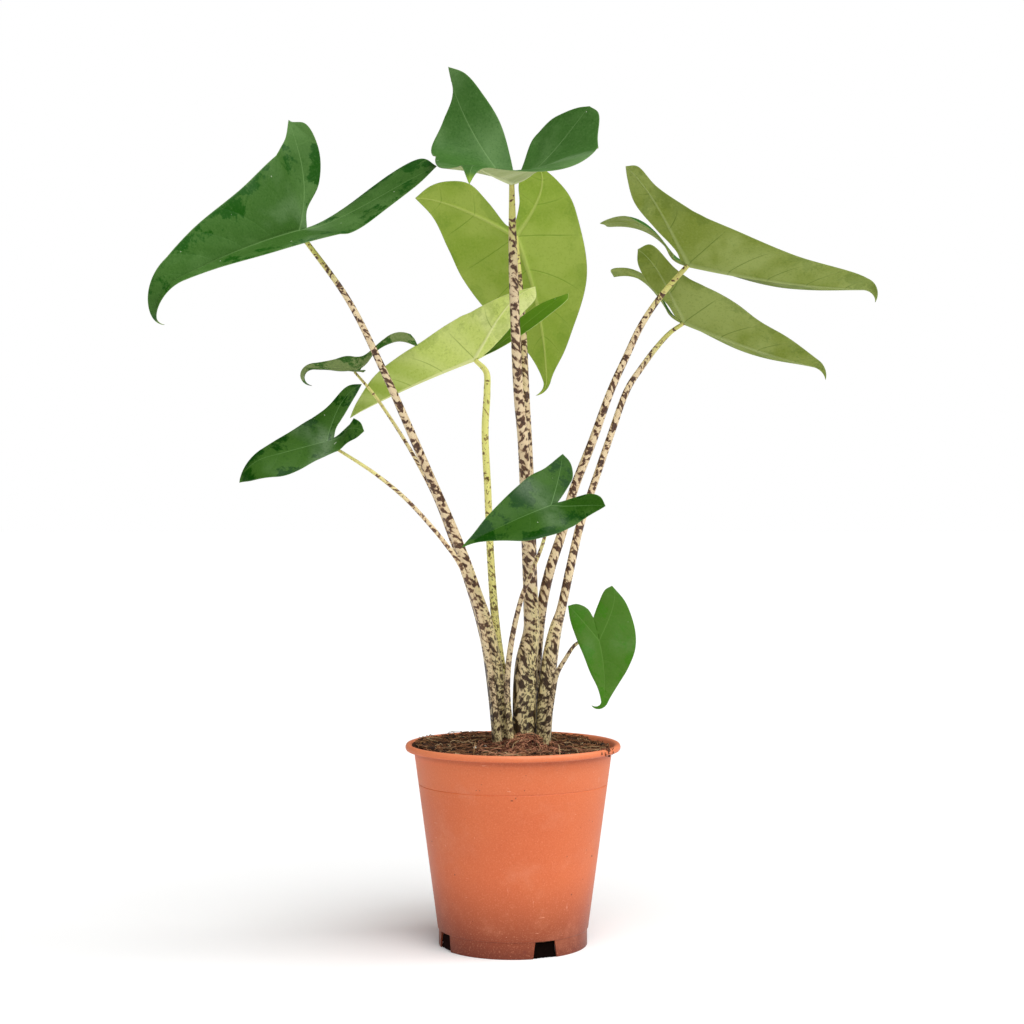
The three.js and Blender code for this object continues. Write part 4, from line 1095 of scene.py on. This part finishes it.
def pot_material():
    paint = Paint("terracotta_plastic", (212, 104, 59), specular_ior_level=0.4, ior=1.46)
    place = paint.place
    height = place.parts()[2]
    broad = place.clouds(9)
    grain = place.clouds(900, 3, 0.75)
    # Painted shade: under_lip marks the narrow band just below the lip, darkened in a coat below as the
    # lip's overhang shades it
    under_lip = height.ramp(0.1475, 0.152) * height.ramp(0.154, 0.1525)
    paint.coat((221, 116, 68), broad.ramp(0.3, 0.7))
    # Painted shade: darker towards the foot and underside, where less light reaches the pot's lower part
    paint.coat((80, 20, 8), height.ramp(-0.015, 0.07, 0.95, 0))
    # Painted light: a lighter band on the upper body that offsets the shadow cast by the lip
    paint.coat((238, 130, 80), height.ramp(0.105, 0.148, 0, 0.45))
    # Painted shade of the lip's overhang
    paint.coat((140, 62, 40), under_lip * 0.5)
    # Painted highlight: lighter round the top of the lip
    paint.coat((242, 150, 108), height.ramp(0.1535, 0.1575, 0, 0.45))
    paint.coat((240, 158, 118), grain.ramp(0.5, 0.8, 0, 0.45))
    paint.coat((172, 78, 48), grain.ramp(0.48, 0.2, 0, 0.4))
    scuffs = place.clouds((170, 170, 34), distortion=0.8)
    paint.coat((246, 190, 160), scuffs.ramp(0.71, 0.76, 0, 0.6))
    scratches = place.clouds((105, 105, 420), 2, distortion=0.4)
    paint.coat((244, 176, 140), scratches.ramp(0.735, 0.76, 0, 0.5))
    paint.coat((120, 50, 32), place.clouds(240, 1).ramp(0.76, 0.785, 0, 0.75))
    paint.coat((228, 148, 112), place.clouds(30, 5, 0.65).ramp(0.5, 0.75, 0, 0.25))
    return paint.finish(broad.ramp(0.3, 0.7, 0.42, 0.55), grain, 0.0001)


def soil_material():
    paint = Paint("coco_soil", (26, 17, 12), specular_ior_level=0.2)
    clods = paint.place.clouds(180, 5, 0.65)
    paint.coat((92, 62, 42), clods.ramp(0.35, 0.68))
    paint.coat((146, 108, 76), paint.place.clouds((620, 217, 620)).ramp(0.56, 0.7, 0, 0.6))
    return paint.finish(0.95, clods, 0.0012)


def fibre_material(name, dark, light, shine=0.3):
    paint = Paint(name, dark, specular_ior_level=shine)
    tone = paint.number("strand") + (paint.place.clouds(130, 2) - 0.5)
    paint.coat(light, tone.ramp(0.1, 0.9))
    return paint.finish(0.85, paint.place.clouds(2400, 2), 0.00008)


def root_material():
    paint = Paint("root_bark", (128, 98, 62), specular_ior_level=0.3)
    rings = paint.place.clouds((120, 120, 480), 4)
    paint.coat((188, 160, 112), rings.ramp(0.35, 0.65))
    return paint.finish(0.8, rings, 0.0006)


def floor_material():
    glow = dict(emission_color=(1, 1, 1, 1), emission_strength=0.06)
    paint = Paint("white_floor", (251, 251, 251), specular_ior_level=0.1, **glow)
    paint.coat((252, 252, 252), paint.place.clouds(3, 2))
    return paint.finish(0.8)


# Loose matter on the soil

def thread(points, thickness, sides=4):
    """Points and faces of a thin thread with pointed ends."""
    share = np.linspace(0, 1, len(points))
    radius = thickness * np.sqrt(np.clip(4 * share * (1 - share), 0.08, 1))
    rings = rings_round(points, radius[:, None], np.linspace(0, FULL_TURN, sides, endpoint=False))
    return rings.reshape(-1, 3), tube_faces(len(points), sides)


def loose_piece(name, parts, material):
    """Keeps one piece of many loose strands or crumbs, each with a tone of its own."""
    faces = []
    strand = []
    for places, sides in parts:
        faces += [tuple(number + len(strand) for number in side) for side in sides]
        strand += [RANDOM.random()] * len(places)
    points = np.vstack([places for places, _ in parts])
    keep(make_mesh(name, points, faces, [material], attributes=dict(strand=strand)), "soil")


def soil_spot():
    reach = (inside_radius(SOIL.front) - SOIL.loose_from) * math.sqrt(RANDOM.random())
    turn = RANDOM.random() * FULL_TURN
    return reach * math.cos(turn), reach * math.sin(turn)


def heap_spot():
    return PILE.x + RANDOM.normal(0, PILE.spread), PILE.y + RANDOM.normal(0, PILE.spread)


def pile(x, y):
    """Height of the loose fibres heaped against the stalks' feet."""
    from_pile = np.hypot((x - PILE.x) / PILE.wide, (y - PILE.y) / PILE.deep)
    return PILE.height * (1 - smooth(from_pile, 0.1, 1))


def fibre(x, y, length, lift, thickness):
    """A curly fibre lying on the soil about a spot."""
    heading = RANDOM.random() * FULL_TURN
    curl = RANDOM.normal(0, FIBRE.curl)
    steps = np.linspace(-0.5, 0.5, FIBRE.points)
    turn = heading + curl * steps + FIBRE.wave * np.sin(steps * FIBRE.waves + RANDOM.random() * 6)
    step = length / (FIBRE.points - 1)
    x = x + np.cumsum(np.cos(turn)) * step
    y = y + np.cumsum(np.sin(turn)) * step
    room = inside_radius(SOIL.front) - FIBRE.from_wall
    pull = np.minimum(1, room / np.maximum(np.hypot(x, y), 1e-6))
    x = x * pull
    y = y * pull
    arch = lift * (1 - (2 * steps) ** 2) * RANDOM.random()
    heaped = pile(x, y) * RANDOM.random()
    rough = RANDOM.normal(0, FIBRE.rough, FIBRE.points)
    z = soil_height(x, y) + FIBRE.above + heaped + arch + rough
    return thread(np.stack([x, y, z], 1), thickness)


def fibre_layer(kind, material, spot=soil_spot):
    layer = FIBRES[kind]
    parts = []
    for _ in range(layer.count):
        place = spot()
        length = RANDOM.uniform(*layer.lengths)
        parts.append(fibre(*place, length, layer.arch, RANDOM.uniform(*layer.radii)))
    loose_piece(f"{kind}_fibres", parts, material)


def crumb(centre, size):
    """Points and faces of a lump with twelve corners, each pushed in or out."""
    golden = (1 + math.sqrt(5)) / 2
    corners = []
    for a in (-1, 1):
        for b in (-golden, golden):
            corners += [(0, a, b), (a, b, 0), (b, 0, a)]
    corners = np.array(corners) / math.hypot(1, golden)
    stretch = RANDOM.uniform(*CRUMB.stretch, 3)
    corners = corners * RANDOM.uniform(*CRUMB.dents, 12)[:, None] * stretch * size
    shape = bmesh.new()
    for corner in np.asarray(centre) + corners:
        shape.verts.new(corner)
    shape.verts.index_update()
    bmesh.ops.convex_hull(shape, input=shape.verts)
    shape.verts.index_update()
    points = np.array([vert.co for vert in shape.verts])
    faces = [tuple(vert.index for vert in face.verts) for face in shape.faces]
    shape.free()
    return points, faces


def crumb_layer(name, material, find, *more):
    """Crumbs that lie where find puts them, and some more at given places."""
    parts = []
    for x, y, height in (*find(CRUMBS[name].count), *more):
        size = RANDOM.uniform(*CRUMBS[name].sizes)
        parts.append(crumb((x, y, height + size * CRUMB.above), size))
    loose_piece(name, parts, material)


def spots_on_soil(count):
    spots = [soil_spot() for _ in range(count)]
    return [(x, y, float(soil_height(x, y))) for x, y in spots]


def spots_on_rim(count):
    """Places in a spill of soil that lies over the lip and down its outside."""
    spots = []
    for _ in range(count):
        turn = math.radians(SPILL.turn + RANDOM.normal(0, SPILL.spread))
        reach = RANDOM.uniform(SPILL.inner, SPILL.outer)
        over = max(0.0, reach - POT.rim_radius + SPILL.sunk)
        height = POT.height - SPILL.sunk - over * RANDOM.uniform(*SPILL.fall)
        reach = min(reach, POT.rim_radius + SPILL.proud)
        spots.append((reach * math.cos(turn), reach * math.sin(turn), height))
    return spots


def drain_plug(index):
    """Soil that fills a drain notch, a little behind the foot's face, near-black as painted shade of the
    dark inside.
    """
    across = np.r_[np.linspace(-1, 1, DRAIN.columns), 1, -1]
    depth = np.r_[np.full(DRAIN.columns, POT.foot_radius - DRAIN.front), DRAIN.back, DRAIN.back]
    rows = []
    for height in np.linspace(0.2, POT.floor_top, DRAIN.rows):
        half = NOTCH.width / 2 * mix(1, NOTCH.top_share, height / NOTCH.top) - DRAIN.gap
        y = RANDOM.normal(0, DRAIN.rough, len(depth)) - depth
        rows.append(np.stack([across * half, y, height + 0 * y], -1))
    return to_notch(np.vstack(rows), index), tube_faces(DRAIN.rows, len(across))


def upright(x, y, height, lean, thickness):
    """A pale stub of fibre standing in the soil."""
    steps = np.linspace(0, 1, 7)
    z = soil_height(x, y) - 1.5 + height * steps
    return thread(np.stack([x + lean * steps ** 2, y + 0 * steps, z], 1), thickness, 6)


# Scene

def build_plant():
    materials = {
        name: [
            blade_face(f"{name}_upper", look, True),
            blade_face(f"{name}_under", look, False),
            blade_rim(f"{name}_rim", look.rim)]
        for name, look in LOOKS.items()}
    zebra = stalk_material(
        "zebra_stalk",
        grounds=((212, 210, 118), (236, 214, 174), (234, 216, 168)),
        marks=((52, 34, 28), (150, 108, 76), (50, 38, 24)),
        bare=0.07, sparse=-0.006)
    spotted = stalk_material(
        "spotted_stalk",
        grounds=((226, 220, 134), (232, 210, 166), (222, 204, 160)),
        marks=((66, 44, 32), (176, 132, 98), (58, 44, 28)),
        bare=0.14, sparse=0.02)
    fresh = stalk_material(
        "young_stalk",
        grounds=((236, 236, 138), (244, 238, 150), (240, 230, 150)),
        marks=((84, 62, 28), (206, 186, 104), (66, 52, 26)),
        bare=0.24, sparse=0.085, fleck_top=480)
    stalks = dict(young=fresh, mid_left=spotted, small_left=spotted, front=spotted, low_right=spotted)
    for name, leaf in LEAVES.items():
        blade = blade_piece(f"leaf_{name}", leaf, materials[leaf.look])
        keep(blade, "pale_blade" if leaf.look in ("pale", "young") else "dark_blade", f"blade_{name}")
        stalk = stalk_piece(f"petiole_{name}", leaf, stalks.get(name, zebra))
        keep(stalk, "young_stalk" if name == "young" else "zebra_stalk", f"stalk_{name}")


def build_pot_and_soil():
    keep(pot_piece(pot_material()), "pot", "pot")
    keep(soil_piece(soil_material()), "soil", "soil")
    straw = fibre_material("straw_fibre", (156, 116, 74), (222, 190, 146))
    fibre_layer("brown", fibre_material("brown_fibre", (50, 31, 20), (160, 110, 74)))
    fibre_layer("straw", straw)
    fibre_layer("red", fibre_material("red_fibre", (92, 48, 32), (214, 150, 116)), heap_spot)
    bark = fibre_material("bark", (26, 17, 12), (78, 50, 34))
    crumb_layer("bark_crumbs", bark, spots_on_soil)
    white = fibre_material("perlite", (206, 200, 186), (236, 230, 216))
    crumb_layer("perlite_grains", white, spots_on_soil, PEBBLE)
    spilt = fibre_material("spilt_soil", (74, 42, 28), (150, 96, 68))
    crumb_layer("spilt_crumbs", spilt, spots_on_rim)
    # Painted shade: near-black soil in the drain notches stands for the dark inside of the pot's foot
    notch_shade = fibre_material("notch_shade_soil", (14, 6, 4), (32, 16, 12), shine=0.03)
    loose_piece("drain_soil_shade", [drain_plug(index) for index in range(NOTCH.count)], notch_shade)
    loose_piece("upright_fibres", [upright(*stub) for stub in STUBS], straw)
    root = root_material()
    for name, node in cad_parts.items():
        if name.startswith("rootstock_"):
            node.data.materials.clear()
            node.data.materials.append(root)


def build_stage():
    """A white floor, and a world that the camera sees brighter than it shines."""
    bpy.ops.mesh.primitive_plane_add(size=60, location=(0, 0, 0))
    floor = bpy.context.object
    floor.name = "floor"
    floor.data.materials.append(floor_material())
    world = bpy.data.worlds.new("studio")
    bpy.context.scene.world = world
    world.use_nodes = True
    tree = world.node_tree
    sky = tree.nodes["Background"].inputs
    seen = Value(tree, "ShaderNodeLightPath", {}, "Is Camera Ray")
    plug(tree, sky["Color"], (1, 1, 1, 1))
    plug(tree, sky["Strength"], Value(tree, "ShaderNodeMapRange", {"Value": seen, "To Min": SKY}))


def soft_sun(name, place, strength, spread):
    """A far, broad lamp that shines from a place towards the plant."""
    light = bpy.data.lights.new(name, "SUN")
    light.angle = math.radians(spread)
    light.energy = strength
    lamp = bpy.data.objects.new(name, light)
    lamp.location = place
    lamp.rotation_euler = (-Vector(place)).to_track_quat("-Z", "Y").to_euler()
    bpy.context.scene.collection.objects.link(lamp)


def build_camera():
    lens = bpy.data.cameras.new("photo_camera")
    lens.lens = LENS
    lens.sensor_width = 36
    lens.clip_end = 100
    camera = bpy.data.objects.new("photo_camera", lens)
    camera.location = (np.array(EYE) - (*MIDDLE, 0)) * MM
    camera.rotation_euler = (math.radians(90), 0, 0)
    bpy.context.scene.collection.objects.link(camera)
    bpy.context.scene.camera = camera


build_camera()
build_stage()
for name, sun in SUNS.items():
    soft_sun(name, *sun)
build_plant()
build_pot_and_soil()
bpy.context.scene.view_settings.view_transform = "Standard"
